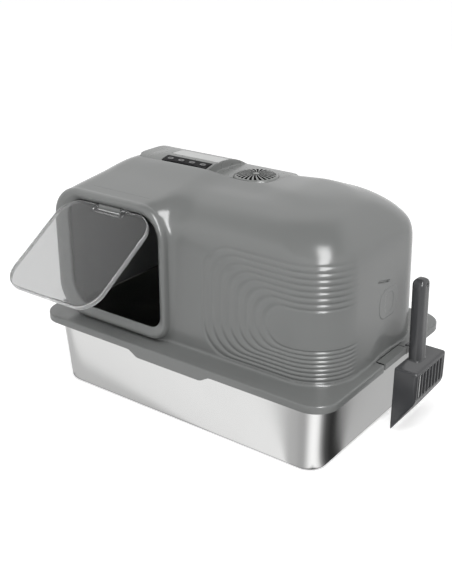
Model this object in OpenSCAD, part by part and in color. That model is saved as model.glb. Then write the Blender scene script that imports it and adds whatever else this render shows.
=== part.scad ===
/* [Overall] */
// Length of the rim along the long side
rim_l = 600; // [520:1:700]
// Depth of the rim from front to back
rim_d = 412; // [380:1:480]
// Height of the rim's top face above the floor
rim_h = 137; // [110:1:170]
// Height of the hood's crown above the rim's top face
hood_h = 260; // [235:1:300]
// Radius of the rim's corners seen from above
rim_r = 43; // [20:1:60]

/* [Steel pan] */
// Thickness of the steel sheet
steel_t = 0.8; // [0.6:0.1:2]
// Distance from the rim's edge to the top of the pan's wall
pan_inset = 18.5; // [17:0.5:24]
// How much the pan's wall leans in on each side from top to bottom
pan_lean = 8.5; // [2:0.5:16]
// Radius of the pan's upright corners
pan_r = 36; // [20:1:60]
// Radius of the bend between the pan's wall and its floor
pan_bend_r = 9; // [4:0.5:14]
// Width of the pan's flat lip
pan_lip_w = 14; // [13:0.5:15]
// Thickness of the pan's folded lip
pan_lip_t = 2.5; // [2:0.1:3]

/* [Hood] */
// Thickness of the hood's moulded walls
wall_t = 3; // [2:0.1:4]
// Thickness of the rim's skirt
skirt_t = 2.5; // [1.5:0.1:3]
// Height of the rim's skirt
skirt_h = 13.5; // [12.5:0.5:18]
// Width of the flat rim beside the hood at both ends
rim_ledge_end = 19; // [18:0.5:30]
// Width of the flat rim in front of the hood
rim_ledge_front = 44; // [40:0.5:60]
// Width of the flat rim behind the hood
rim_ledge_back = 48; // [30:0.5:60]
// Radius of the hood's upright corners
hood_r = 78; // [50:1:95]
// Height of the domed crown at the top of the hood
crown_h = 97; // [80:1:110]
// How much the hood's wall leans in up to the crown
hood_lean = 4; // [0:0.5:8]
// Width of the tab on the front of the skirt
tab_w = 129; // [60:1:160]
// Depth of the tab below the skirt
tab_drop = 10; // [4:0.5:12]
// Width of each slope beside the tab
tab_slope_w = 23; // [10:1:30]

/* [Entry] */
// Width of the entry opening
entry_w = 202; // [170:1:215]
// Height of the entry opening
entry_h = 197; // [170:1:200]
// Height of the entry opening's sill above the rim
entry_sill = 24; // [20:0.5:40]
// Distance from the middle of the hood to the middle of the entry
entry_off = 139.5; // [125:0.5:145]
// Radius of the entry opening's upper corners
entry_r_top = 40; // [30:1:60]
// Radius of the entry opening's lower corners
entry_r_bottom = 24; // [12:1:40]
// Width of the flat band round the entry
band_w = 18; // [12:0.5:20]
// Width of the sloped step inside the band
band_step_w = 14; // [8:0.5:16]
// Depth of the sloped step inside the band
band_step_d = 4; // [2:0.5:6]
// How far the entry frame stands out from the hood's front
entry_proud = 18; // [14:0.5:26]

/* [Door flap] */
// Angle by which the flap is held open outwards
flap_open = 57; // [0:1:75]
// Thickness of the clear panel
flap_t = 3; // [2:0.1:4]
// Thickness of the flap's raised edge
flap_edge_t = 6; // [4:0.1:7]
// Width of the flap's raised edge
flap_edge_w = 7; // [4:0.5:12]
// Gap round the closed flap
flap_gap = 2; // [1.5:0.1:4]
// Radius of the flap's lower corners
flap_r_bottom = 38; // [25:1:50]
// Diameter of the flap's hinge pin
flap_pin_d = 3; // [2:0.1:3.6]

/* [Rim clips] */
// Width of each clip along the rim
clip_w = 76; // [50:1:90]
// Distance of the clips behind the middle of the rim
clip_off = 19; // [0:0.5:24]
// Gap between a clip and the rim beside it
clip_gap = 0.6; // [0.3:0.1:1.5]
// Diameter of each clip's hinge pin
clip_pin_d = 2.4; // [1.6:0.1:3]
// Radius of the finger hollow above each clip
hollow_r = 55; // [40:1:60]
// Depth of the finger hollow at its foot
hollow_depth = 9; // [5:0.5:12]

/* [Odour unit] */
// Length of the odour unit along the hood
unit_l = 287; // [270:1:300]
// Depth of the odour unit from front to back
unit_d = 121; // [112:1:124]
// Length of the raised part that holds the controls
hump_l = 165; // [150:1:172]
// Radius of the raised part's arch
hump_r = 140; // [120:1:180]
// Diameter of the vent cap
vent_d = 78; // [66:1:82]
// Rise of the vent cap
vent_rise = 6.5; // [3:0.5:9]
// Number of slots in the vent cap
vent_slots = 20; // [12:1:24]
// Diameter of the fan's ring
fan_d = 76; // [66:1:78]
// Number of blades on the fan
fan_blades = 7; // [5:1:9]
// Length of the control panel
panel_l = 100; // [80:1:120]
// Depth of the control panel
panel_d = 20; // [16:1:24]
// Length of each button
button_l = 13; // [9:0.5:16]
// Depth of each button
button_d = 7; // [5:0.5:9]

/* [Scoop] */
// Width of the scoop's basket
scoop_w = 110; // [80:1:130]
// Depth of the scoop's basket from mouth to slotted face
scoop_d = 40.5; // [30:0.5:50]
// Length of the scoop's basket from top to tip
scoop_l = 118; // [95:1:122]
// Height of the scoop's slotted face
scoop_face = 55; // [40:1:65]
// Thickness of the scoop's walls
scoop_t = 2.6; // [2:0.1:3.5]
// Length of the scoop's handle above the basket
handle_l = 144; // [100:1:160]
// Width of the scoop's handle
handle_w = 31; // [22:1:36]
// Thickness of the scoop's handle
handle_t = 17; // [12:0.5:20]
// Number of slots across the scoop
scoop_slots = 8; // [5:1:9]
// Width of each slot in the scoop
scoop_slot_w = 5.5; // [3:0.5:6]

/* [Hidden] */

// Roundness of curves and number of steps in each faceted corner
$fn = 64;
corner_steps = 7;
// Overrun of every cut past the face it opens
cut = 2;
// Small running gaps and seats
fit = 0.3;
pin_fit = 0.05;

// Half sizes of the rim and of the hood's foot
rim_hx = rim_l / 2;
rim_hy = rim_d / 2;
plate_z = rim_h - wall_t;
skirt_z = rim_h - skirt_h;
hood_x = rim_hx - rim_ledge_end;
hood_y0 = -rim_hy + rim_ledge_front;
hood_y1 = rim_hy - rim_ledge_back;
shoulder_z = rim_h + hood_h - crown_h;
crown_z = rim_h + hood_h;

// The pan's lip lies under the rim, and the hood's seat rib stands on it
lip_gap = 3.5;
lip_z1 = plate_z - lip_gap;
lip_z0 = lip_z1 - pan_lip_t;
pan_hx = rim_hx - pan_inset;
pan_hy = rim_hy - pan_inset;
rib_t = 2.5;
rib_edge = 6;

// Crown of the hood: height, then how far the right end, the front, the back and the left end draw in
crown_shares = [[0, 0, 0, 0, 0], [0.16, 0.004, 0.003, 0.003, 0.007], [0.30, 0.015, 0.013, 0.02, 0.02],
    [0.42, 0.042, 0.036, 0.05, 0.038], [0.505, 0.080, 0.074, 0.1, 0.055], [0.60, 0.125, 0.14, 0.18, 0.08],
    [0.69, 0.18, 0.23, 0.29, 0.105], [0.784, 0.247, 0.375, 0.43, 0.142], [0.845, 0.303, 0.53, 0.58, 0.173],
    [0.918, 0.42, 0.76, 0.78, 0.235], [0.959, 0.56, 0.87, 0.88, 0.31], [0.985, 0.8, 0.95, 0.95, 0.52], [1, 1, 1, 1, 1]];
// The crown's flat top: how far it reaches to the right, to the left, forwards and backwards
flat_x1 = 78;
flat_x0 = -60;
flat_y0 = -16;
flat_y1 = 60;

// Sections of the entry tunnel from its buried back end to its mouth:
// place from the mouth, how far the left side, the right side and the roof have moved
tunnel_back = 260;
tunnel_shares = [[1, 0.14, 0.14, -0.10], [0.88, 0.08, 0.10, 0.02], [0.72, 0.04, 0.045, 0.085],
    [0.61, 0.027, 0.015, 0.088], [0.3, 0.012, 0.005, 0.045], [0, 0, 0, 0]];
tunnel_r_bottom = 20;
tunnel_r_top = 55;

// Entry frame, measured outwards from its opening
entry_x0 = -entry_off - entry_w / 2;
entry_x1 = -entry_off + entry_w / 2;
entry_z0 = rim_h + entry_sill;
entry_z1 = entry_z0 + entry_h;
band_all = band_w + band_step_w;
band_sill_gap = 2;
band_low = entry_sill - band_sill_gap;
band_top_less = 2.5;
band_high = band_w - band_top_less;
frame_y = hood_y0 - entry_proud;
frame_t = 12;
spigot_l = 20;
spigot_t = 3;
mouth_y = frame_y + frame_t;

// Flap hinge: the axis, its block and the knuckles beside it
hinge_in = 7;
hinge_y = frame_y + hinge_in;
hinge_drop = 4.5;
hinge_z = entry_z1 - hinge_drop;
knuckle_r = 3.6;
knuckle_l = 8;
block_l = 48;
block_d = 10;
block_h = 9.5;
tongue_d = 9;
tongue_t = 3;
bar_drop = 13;
notch_r = 8.5;
flap_l = hinge_z - entry_z0 - flap_gap;
flap_w = entry_w - 2 * flap_gap;
flap_r_less = 1;
flap_r_top = entry_r_top - flap_r_less;

// Clip hinge near the hood's foot
clip_axis_out = 4.5;
clip_axis_x = rim_hx - rim_ledge_end + clip_axis_out;
clip_knuckle_r = 2.7;
clip_axis_z = rim_h - clip_knuckle_r;
clip_y0 = clip_off - clip_w / 2;
clip_y1 = clip_off + clip_w / 2;
clip_skirt_h = 11;
nib_w = 1.6;
nib_h = 1.6;
boss_l = 8;
boss_w = 7;
boss_h = 3.1;
pin_reach = 6;

// Finger hollow: a shallow scoop cut from the hood's end wall
hollow_bow = (hollow_r * hollow_r + hollow_depth * hollow_depth) / (2 * hollow_depth);
hollow_rise = 1;
hollow_z = rim_h + hollow_rise;

// Raised oval and slot on the hood's end
oval_hy = 31;
oval_hz = 25;
oval_r = 20;
oval_rise = 91;
oval_z = rim_h + oval_rise;
oval_proud = 1.2;
oval_band = 3;
dimple_hy = 14;
dimple_hz = 17;
slit_l = 40;
slit_h = 3;
slit_rise = 132;
slit_z = rim_h + slit_rise;
slit_off = -18.5;
slit_tilt = 14;

// Rings of grooves that run round the hood's front right corner
groove_count = 8;
groove_w = 3;
groove_d = 1;
groove_x = 41;
groove_rise_low = 6;
groove_rise_high = 193;
groove_z0 = rim_h + groove_rise_low;
groove_z1 = rim_h + groove_rise_high;
groove_pitch_x = 17;
groove_pitch_low = 7.2;
groove_pitch_high = 9.7;
groove_r = 52;
groove_r_step = 2.5;
groove_end_y = -45;

// Place of the odour unit in its pocket
unit_x0 = -227.5;
unit_x1 = unit_x0 + unit_l;
unit_y0 = -15.5;
unit_y1 = unit_y0 + unit_d;
unit_r = 26;
unit_sink = 27;
unit_z = crown_z - unit_sink;
unit_gap = 0.5;
unit_floor = 2.6;
unit_wall = 2.4;
hump_x1 = unit_x0 + hump_l;
hump_y = 29;
hump_proud = 5;
hump_top = crown_z + hump_proud;
hump_z = hump_top - hump_r;
deck_sink = 10.4;
deck_top = crown_z - deck_sink;
deck_r = 270;
deck_y = 33;

// Vent and fan, on one upright axis
vent_x = 8;
vent_y = 32;
vent_sink = 3;
vent_base = deck_top - vent_sink;
vent_edge_t = 1.4;
vent_hub_r = 6;
vent_t = 2;
duct_t = 1.6;
duct_r = fan_d / 2 + fit + duct_t;
duct_drop = 40;
duct_low = unit_z - duct_drop;
fan_h = 22;
fan_z0 = unit_z - fan_h;
fan_ring_t = 2;
fan_hub_r = 13;
fan_gap = 1.2;
blade_t = 1.4;
blade_w = 20;
blade_pitch = 38;
motor_r = 9;
shaft_r = 1.5;
arm_w = 5;
arm_t = 2.5;
filter_h = 12;
cap_t = 2.4;
cap_slot_w = 4;

// Control panel, laid on the arch, with its buttons
panel_x = -117;
panel_y = -2;
panel_t = 1.6;
panel_tilt = asin((hump_y - panel_y) / hump_r);
panel_z = hump_z + hump_r * cos(panel_tilt);
button_pitch = 24;
button_proud = 0.9;
button_gap = 0.3;
button_stem = 4;
button_travel = 0.8;
board_t = 1.6;
post_r = 3;
plate_l = 104;
plate_d = 30;
plate_t = 0.8;
plate_x = -113;
plate_y = 33;
cell_r = 9;
cell_l = 65;
socket_w = 9;
socket_h = 3.4;
socket_d = 8;
socket_t = 0.6;
socket_sink = 1;
socket_z = crown_z - socket_sink;

// Screws
screw_r = 1.5;
screw_head_r = 2.8;
screw_head_h = 1.8;
screw_l = 9;

// Place of the scoop beside the rim
scoop_out = 4.5;
scoop_x = rim_hx + scoop_out;
scoop_y = 60;
scoop_sink = 15;
scoop_z1 = rim_h - scoop_sink;
handle_y = 61.5;
handle_r = 7;
hook_w = 12;
hook_t = 2.5;
hook_y = 66;
hook_in = 3.2;
hook_drop = 5.4;
hang_hole_d = 6;
hang_hole_l = 9;

// Points of a quarter circle, from a start angle
function arc(cx, cy, r, start) =
    [for (i = [0:corner_steps]) [cx + r * cos(start + 90 * i / corner_steps),
        cy + r * sin(start + 90 * i / corner_steps)]];

// Points round a rectangle with rounded corners, lower pair and upper pair
function round_points(x0, x1, y0, y1, ra, rb) =
    concat(arc(x1 - ra, y0 + ra, ra, -90), arc(x1 - rb, y1 - rb, rb, 0),
        arc(x0 + rb, y1 - rb, rb, 90), arc(x0 + ra, y0 + ra, ra, 180));

// A closed solid through rings of points, the first ring at the bottom
module loft(rings) {
    m = len(rings);
    n = len(rings[0]);
    sides = [for (j = [0:m - 2]) for (i = [0:n - 1]) each [
        [j * n + i, (j + 1) * n + (i + 1) % n, j * n + (i + 1) % n],
        [j * n + i, (j + 1) * n + i, (j + 1) * n + (i + 1) % n]]];
    polyhedron(points = [for (r = rings) each r],
        faces = concat([[for (i = [0:n - 1]) i]], sides, [[for (i = [n - 1:-1:0]) (m - 1) * n + i]]));
}

// Rectangle with true round corners, lower pair and upper pair
module round_rect(x0, x1, y0, y1, ra, rb) {
    translate([x0 + ra, y0]) square([x1 - x0 - 2 * ra, ra]);
    translate([x0 + rb, y1 - rb]) square([x1 - x0 - 2 * rb, rb]);
    translate([x0, y0 + ra]) square([x1 - x0, y1 - y0 - ra - rb]);
    for (p = [[x0 + ra, y0 + ra, ra], [x1 - ra, y0 + ra, ra], [x0 + rb, y1 - rb, rb], [x1 - rb, y1 - rb, rb]])
        translate([p[0], p[1]]) circle(r = p[2]);
}

// Slab seen from above, from one height to another
module slab(x0, x1, y0, y1, r, z0, z1) {
    translate([0, 0, z0]) linear_extrude(z1 - z0) round_rect(x0, x1, y0, y1, r, r);
}

// Slab seen from the front, from one depth to another
module front_slab(x0, x1, z0, z1, ra, rb, y0, y1) {
    translate([0, y1, 0]) rotate([90, 0, 0]) linear_extrude(y1 - y0) round_rect(x0, x1, z0, z1, ra, rb);
}

// Slab seen from the right end, from one place to another
module end_slab(y0, y1, z0, z1, r, x0, x1) {
    translate([x0, 0, 0]) rotate([90, 0, 90]) linear_extrude(x1 - x0) round_rect(y0, y1, z0, z1, r, r);
}

module box(a, b) {
    translate(a) cube(b - a);
}

// One ring of the hood's body, moved in from the outside by t
function body_ring(row, t) =
    let (x0 = -hood_x + hood_lean + t + row[4] * (flat_x0 + hood_x - hood_lean),
        x1 = hood_x - hood_lean - t - row[1] * (hood_x - hood_lean - flat_x1),
        y0 = hood_y0 + hood_lean * 0.75 + t + row[2] * (flat_y0 - hood_y0 - hood_lean * 0.75),
        y1 = hood_y1 - hood_lean * 0.75 - t - row[3] * (hood_y1 - hood_lean * 0.75 - flat_y1),
        r = min(hood_r - t, 0.95 * (y1 - y0) / 2),
        z = shoulder_z + row[0] * (crown_h - t))
    [for (p = round_points(x0, x1, y0, y1, r, r)) [p[0], p[1], z]];

function foot_ring(z, t) =
    [for (p = round_points(-hood_x + t, hood_x - t, hood_y0 + t, hood_y1 - t, hood_r - t, hood_r - t))
        [p[0], p[1], z]];

module hood_body(t, z) {
    loft(concat([foot_ring(z, t)], [for (row = crown_shares) body_ring(row, t)]));
}

// One section of the tunnel, moved in by t
function tunnel_ring(row, t, y) =
    let (x0 = entry_x0 - band_all + t + row[1] * tunnel_back,
        x1 = entry_x1 + band_all - t - row[2] * tunnel_back,
        z1 = entry_z1 + band_high - t + row[3] * tunnel_back)
    [for (p = round_points(x0, x1, entry_z0 - band_low + t, z1, tunnel_r_bottom - t, tunnel_r_top - t))
        [p[0], y, p[1]]];

module tunnel(t, y0) {
    loft([for (row = tunnel_shares) tunnel_ring(row, t, y0 + row[0] * tunnel_back)]);
}

// Outline of one ring of grooves, as a thin closed wall along Y
module groove(i) {
    x0 = groove_x + i * groove_pitch_x;
    z0 = groove_z0 + i * groove_pitch_low;
    z1 = groove_z1 - i * groove_pitch_high;
    r = groove_r - i * groove_r_step;
    w = groove_w / 2;
    difference() {
        front_slab(x0 - w, rim_l, z0 - w, z1 + w, r + w, r + w, -rim_hy, groove_end_y);
        front_slab(x0 + w, rim_l + cut, z0 + w, z1 - w, r - w, r - w, -rim_hy - cut, groove_end_y + cut);
    }
}

module hood_outer() {
    difference() {
        hood_body(0, plate_z);
        for (i = [0:groove_count - 1]) groove(i);
    }
    hood_body(groove_d, plate_z);
    tunnel(0, mouth_y);
}

// The finger hollow's cutting body, grown by t, on the right end
module hollow(t) {
    bow_x = hood_x - hollow_depth + hollow_bow;
    intersection() {
        translate([bow_x - t, rim_hy, hollow_z]) rotate([90, 0, 0]) cylinder(r = hollow_bow, h = rim_d, $fn = 96);
        translate([hood_x - hollow_r - t, clip_off, hollow_z]) rotate([0, 90, 0]) cylinder(r = hollow_r + t, h = rim_hx);
        box([0, -rim_hy, rim_h - t], [rim_l, rim_hy, crown_z]);
    }
}

module both_ends() {
    children();
    mirror([1, 0, 0]) children();
}

// Space cut in the rim for a clip on the right end
module clip_space() {
    box([hood_x, clip_y0, skirt_z - cut], [rim_hx + cut, clip_y1, rim_h + cut]);
}

module clip_bosses() {
    for (y = [clip_y0 - boss_l, clip_y1])
        box([clip_axis_x - boss_w / 2, y, plate_z - boss_h], [clip_axis_x + boss_w / 2, y + boss_l, plate_z + skirt_t / 2]);
}

module clip_pin_at(r, reach) {
    translate([clip_axis_x, clip_y1 + reach, clip_axis_z]) rotate([90, 0, 0]) cylinder(r = r, h = clip_w + 2 * reach, $fn = 32);
}

module rim() {
    difference() {
        union() {
            slab(-rim_hx, rim_hx, -rim_hy, rim_hy, rim_r, skirt_z, rim_h);
            translate([0, -rim_hy + skirt_t, 0]) rotate([90, 0, 0]) linear_extrude(skirt_t)
                polygon([[-tab_w / 2 - tab_slope_w, skirt_z + skirt_t], [-tab_w / 2 - tab_slope_w, skirt_z],
                    [-tab_w / 2, skirt_z - tab_drop], [tab_w / 2, skirt_z - tab_drop],
                    [tab_w / 2 + tab_slope_w, skirt_z], [tab_w / 2 + tab_slope_w, skirt_z + skirt_t]]);
        }
        slab(-rim_hx + skirt_t, rim_hx - skirt_t, -rim_hy + skirt_t, rim_hy - skirt_t, rim_r - skirt_t,
            skirt_z - tab_drop - cut, plate_z);
    }
    difference() {
        slab(-rim_hx + rib_edge, rim_hx - rib_edge, -rim_hy + rib_edge, rim_hy - rib_edge, rim_r - rib_edge, lip_z1, plate_z + skirt_t / 2);
        slab(-rim_hx + rib_edge + rib_t, rim_hx - rib_edge - rib_t, -rim_hy + rib_edge + rib_t,
            rim_hy - rib_edge - rib_t, rim_r - rib_edge - rib_t, lip_z1 - cut, plate_z);
    }
}

// Where the hook of the scoop passes through the rim
module hook_slot(g) {
    box([rim_hx - hook_in - hook_t - g, hook_y - hook_w / 2 - g, rim_h - hook_drop - g],
        [rim_hx - hook_in + g, hook_y + hook_w / 2 + g, rim_h + cut]);
}

module unit_plan(g, z0, z1) {
    slab(unit_x0 - g, unit_x1 + g, unit_y0 - g, unit_y1 + g, unit_r + g, z0, z1);
}

module at_vent(z) {
    translate([vent_x, vent_y, z]) children();
}

// Everything that is hollow inside the hood
module hood_cavity() {
    difference() {
        union() {
            hood_body(wall_t, plate_z - cut);
            tunnel(wall_t, mouth_y - cut);
        }
        unit_plan(unit_gap + wall_t, unit_z - wall_t, crown_z + crown_h);
        both_ends() hollow(wall_t);
    }
}

module end_relief() {
    difference() {
        end_slab(clip_off - oval_hy, clip_off + oval_hy, oval_z - oval_hz, oval_z + oval_hz, oval_r, hood_x - hood_lean - wall_t / 2, hood_x - hood_lean / 2 + oval_proud);
        end_slab(clip_off - oval_hy + oval_band, clip_off + oval_hy - oval_band, oval_z - oval_hz + oval_band,
            oval_z + oval_hz - oval_band, oval_r - oval_band, hood_x - hood_lean / 2, rim_hx);
        end_slab(clip_off - dimple_hy, clip_off + dimple_hy, oval_z - dimple_hz, oval_z + dimple_hz, dimple_hy - oval_band,
            hood_x - hood_lean, rim_hx);
    }
}

module end_slit() {
    translate([hood_x - hood_lean - wall_t * 2, clip_off + slit_off, slit_z]) rotate([-slit_tilt, 0, 0])
        box([0, -slit_l / 2, -slit_h / 2], [wall_t * 4, slit_l / 2, slit_h / 2]);
}

module steel_pan() {
    color("gainsboro") difference() {
        loft(concat(pan_low_rings(0), [pan_ring(lip_z0, 0), pan_ring(lip_z0, -pan_lip_w), pan_ring(lip_z1, -pan_lip_w)]));
        loft(concat(pan_low_rings(steel_t), [pan_ring(lip_z1 + cut, steel_t)]));
    }
}

// One ring of the pan's wall, moved in by t
function pan_ring(z, t) =
    [for (p = round_points(-pan_hx + t, pan_hx - t, -pan_hy + t, pan_hy - t, pan_r - t, pan_r - t)) [p[0], p[1], z]];

// Rings of the bend between the pan's floor and its wall, moved in by t
function pan_low_rings(t) =
    let (bend = pan_bend_r - t)
    [for (a = [0:15:90]) let (in = pan_lean + t + bend * (1 - sin(a)))
        [for (p = round_points(-pan_hx + in, pan_hx - in, -pan_hy + in, pan_hy - in, pan_r - in / 2, pan_r - in / 2))
            [p[0], p[1], t + bend * (1 - cos(a))]]];

module hood_shell() {
    color("gray") difference() {
        union() {
            hood_outer();
            difference() {
                rim();
                both_ends() clip_space();
                hook_slot(fit);
            }
            both_ends() clip_bosses();
            both_ends() end_relief();
        }
        difference() {
            hood_cavity();
            both_ends() clip_bosses();
        }
        unit_plan(unit_gap, unit_z, crown_z + crown_h);
        at_vent(unit_z - wall_t - cut) cylinder(r = duct_r + fit, h = wall_t + 2 * cut);
        for (p = unit_screw_places) translate([p[0], p[1], unit_z - wall_t - cut]) cylinder(r = screw_r + pin_fit, h = wall_t + 2 * cut, $fn = 32);
        both_ends() hollow(0);
        end_slit();
        both_ends() clip_pin_at(clip_pin_d / 2 + pin_fit / 2, pin_reach);
    }
}

module entry_frame() {
    color("gray") difference() {
        union() {
            front_slab(entry_x0 - band_all, entry_x1 + band_all, entry_z0 - band_low, entry_z1 + band_high,
                tunnel_r_bottom, tunnel_r_top, frame_y, mouth_y);
            front_slab(entry_x0 - spigot_t, entry_x1 + spigot_t, entry_z0 - spigot_t, entry_z1 + spigot_t,
                entry_r_bottom + spigot_t, entry_r_top + spigot_t, mouth_y - fit, mouth_y + spigot_l);
        }
        front_slab(entry_x0, entry_x1, entry_z0, entry_z1, entry_r_bottom, entry_r_top, frame_y - cut, mouth_y + spigot_l + cut);
        front_slab(entry_x0 - band_step_w, entry_x1 + band_step_w, entry_z0 - band_step_w, entry_z1 + band_high / 2,
            entry_r_bottom + band_step_w, entry_r_top + band_high / 2, frame_y - cut, frame_y + band_step_d);
        for (x = block_screw_xs) translate([x, block_screw_y, entry_z1 - cut]) cylinder(r = screw_r + pin_fit, h = spigot_t + 2 * cut, $fn = 32);
    }
}

block_screw_y = hinge_y + block_d / 2 + tongue_d / 2;
block_screw_xs = [-entry_off - block_l / 3, -entry_off + block_l / 3];

module hinge_pin_at(r, l) {
    translate([-entry_off - l / 2, hinge_y, hinge_z]) rotate([0, 90, 0]) cylinder(r = r, h = l, $fn = 32);
}

module flap_hinge_block() {
    color("dimgray") difference() {
        union() {
            box([-entry_off - block_l / 2, hinge_y - block_d / 2, entry_z1 - block_h], [-entry_off + block_l / 2, hinge_y + block_d / 2, entry_z1]);
            box([-entry_off - block_l / 2, hinge_y, entry_z1 - tongue_t], [-entry_off + block_l / 2, hinge_y + block_d / 2 + tongue_d, entry_z1]);
        }
        hinge_pin_at(flap_pin_d / 2 + pin_fit / 2, block_l + 2 * cut);
        for (x = block_screw_xs) translate([x, block_screw_y, entry_z1 - tongue_t - cut]) cylinder(r = screw_r + pin_fit, h = tongue_t + 2 * cut, $fn = 32);
    }
}

module flap_hinge_pin() {
    color("silver") hinge_pin_at(flap_pin_d / 2, block_l + 2 * knuckle_l);
}

module flap_block_screws() {
    color("silver") for (x = block_screw_xs) translate([x, block_screw_y, entry_z1 - tongue_t]) {
        translate([0, 0, -screw_head_h]) cylinder(r = screw_head_r, h = screw_head_h, $fn = 32);
        cylinder(r = screw_r, h = tongue_t + spigot_t + fit, $fn = 32);
    }
}

module door_flap() {
    x0 = -entry_off - flap_w / 2;
    x1 = -entry_off + flap_w / 2;
    bar_x = block_l / 2 + knuckle_l;
    color("lightcyan", 0.5) translate([0, hinge_y, hinge_z]) rotate([-flap_open, 0, 0]) difference() {
        union() {
            front_slab(x0, x1, -flap_l, 0, flap_r_bottom, flap_r_top, -flap_t / 2, flap_t / 2);
            difference() {
                front_slab(x0, x1, -flap_l, 0, flap_r_bottom, flap_r_top, -flap_edge_t / 2, flap_edge_t / 2);
                front_slab(x0 + flap_edge_w, x1 - flap_edge_w, -flap_l + flap_edge_w, -flap_edge_w,
                    flap_r_bottom - flap_edge_w, flap_r_top - flap_edge_w, -flap_edge_t, flap_edge_t);
            }
            box([-entry_off - bar_x, -flap_edge_t / 2, -bar_drop], [-entry_off + bar_x, flap_edge_t / 2, 0]);
            translate([-entry_off - bar_x, 0, 0]) rotate([0, 90, 0]) cylinder(r = knuckle_r, h = 2 * bar_x, $fn = 32);
        }
        translate([-entry_off - block_l / 2 - fit, 0, 0]) rotate([0, 90, 0]) cylinder(r = notch_r, h = block_l + 2 * fit);
        translate([-entry_off - bar_x - cut, 0, 0]) rotate([0, 90, 0]) cylinder(r = flap_pin_d / 2 + pin_fit, h = 2 * bar_x + 2 * cut, $fn = 32);
    }
}

// A clip on the right end, hinged beside the hood's foot
module clip() {
    y0 = clip_y0 + clip_gap;
    y1 = clip_y1 - clip_gap;
    color("gray") difference() {
        union() {
            translate([clip_axis_x, y1, clip_axis_z]) rotate([90, 0, 0]) cylinder(r = clip_knuckle_r, h = y1 - y0, $fn = 32);
            box([clip_axis_x, y0, plate_z], [rim_hx, y1, rim_h]);
            box([rim_hx - skirt_t, y0, rim_h - clip_skirt_h], [rim_hx, y1, rim_h]);
            box([rim_hx - skirt_t - nib_w, y0 + boss_l, rim_h - clip_skirt_h], [rim_hx - skirt_t + fit, y1 - boss_l, rim_h - clip_skirt_h + nib_h]);
        }
        clip_pin_at(clip_pin_d / 2 + pin_fit, pin_reach);
    }
}

module right_clip() {
    clip();
}

module left_clip() {
    mirror([1, 0, 0]) clip();
}

module right_clip_pin() {
    color("silver") clip_pin_at(clip_pin_d / 2, pin_reach);
}

module left_clip_pin() {
    color("silver") mirror([1, 0, 0]) clip_pin_at(clip_pin_d / 2, pin_reach);
}

// Arch over the controls and lower deck round the vent, moved in by t
module unit_top(t, low = 0) {
    intersection() {
        slab(unit_x0 + t, unit_x1 - t, unit_y0 + t, unit_y1 - t, unit_r - t, unit_z + unit_floor - low, hump_top + cut);
        union() {
            translate([unit_x0, hump_y, hump_z]) rotate([0, 90, 0]) cylinder(r = hump_r - t, h = hump_l - t, $fn = 128);
            translate([unit_x0, deck_y, deck_top - deck_r]) rotate([0, 90, 0]) cylinder(r = deck_r - t, h = unit_l, $fn = 128);
        }
    }
}

module on_panel() {
    translate([panel_x, panel_y, panel_z]) rotate([panel_tilt, 0, 0]) children();
}

module panel_blank(g, t0, t1) {
    on_panel() slab(-panel_l / 2 - g, panel_l / 2 + g, -panel_d / 2 - g, panel_d / 2 + g, panel_t + g, t0, t1);
}

module unit_cover() {
    color("darkgray") difference() {
        union() {
            difference() {
                unit_top(0);
                unit_top(unit_wall, cut);
            }
            intersection() {
                unit_top(0);
                at_vent(vent_base - unit_wall) cylinder(r = vent_d / 2 + unit_wall, h = hump_top - vent_base);
            }
        }
        panel_blank(fit / 2, -unit_wall * 3, unit_wall * 3);
        at_vent(vent_base) cylinder(r = vent_d / 2, h = hump_top - vent_base);
        at_vent(vent_base - unit_wall - cut) cylinder(r = vent_d / 2 - vent_t, h = hump_top - vent_base);
        plate_seat(fit / 2);
        box([unit_x0 - cut, hump_y - socket_w / 2, socket_z - socket_h / 2], [unit_x0 + unit_wall + cut, hump_y + socket_w / 2, socket_z + socket_h / 2]);
    }
}

module plate_seat(g) {
    intersection() {
        slab(plate_x - plate_l / 2 - g, plate_x + plate_l / 2 + g, plate_y - plate_d / 2 - g, plate_y + plate_d / 2 + g, plate_t * 3, hump_z, hump_top + cut);
        difference() {
            translate([unit_x0, hump_y, hump_z]) rotate([0, 90, 0]) cylinder(r = hump_r + cut, h = hump_l, $fn = 128);
            translate([unit_x0 - cut, hump_y, hump_z]) rotate([0, 90, 0]) cylinder(r = hump_r - plate_t - g, h = unit_l, $fn = 128);
        }
    }
}

module pale_plate() {
    color("whitesmoke") intersection() {
        plate_seat(0);
        translate([unit_x0, hump_y, hump_z]) rotate([0, 90, 0]) cylinder(r = hump_r + fit, h = hump_l, $fn = 128);
    }
}

// The unit's screws stay where the deck's underside clears their heads
screw_in = unit_r / 2;
screw_rise = unit_z + unit_floor + screw_head_h + fit - deck_top + deck_r;
screw_reach = sqrt(pow(deck_r - unit_wall, 2) - pow(screw_rise, 2)) - screw_head_r;
screw_y0 = max(unit_y0 + screw_in, deck_y - screw_reach);
screw_y1 = min(unit_y1 - screw_in, deck_y + screw_reach);
unit_screw_places = [for (x = [unit_x0 + screw_in, unit_x1 - screw_in]) for (y = [screw_y0, screw_y1]) [x, y]];

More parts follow.
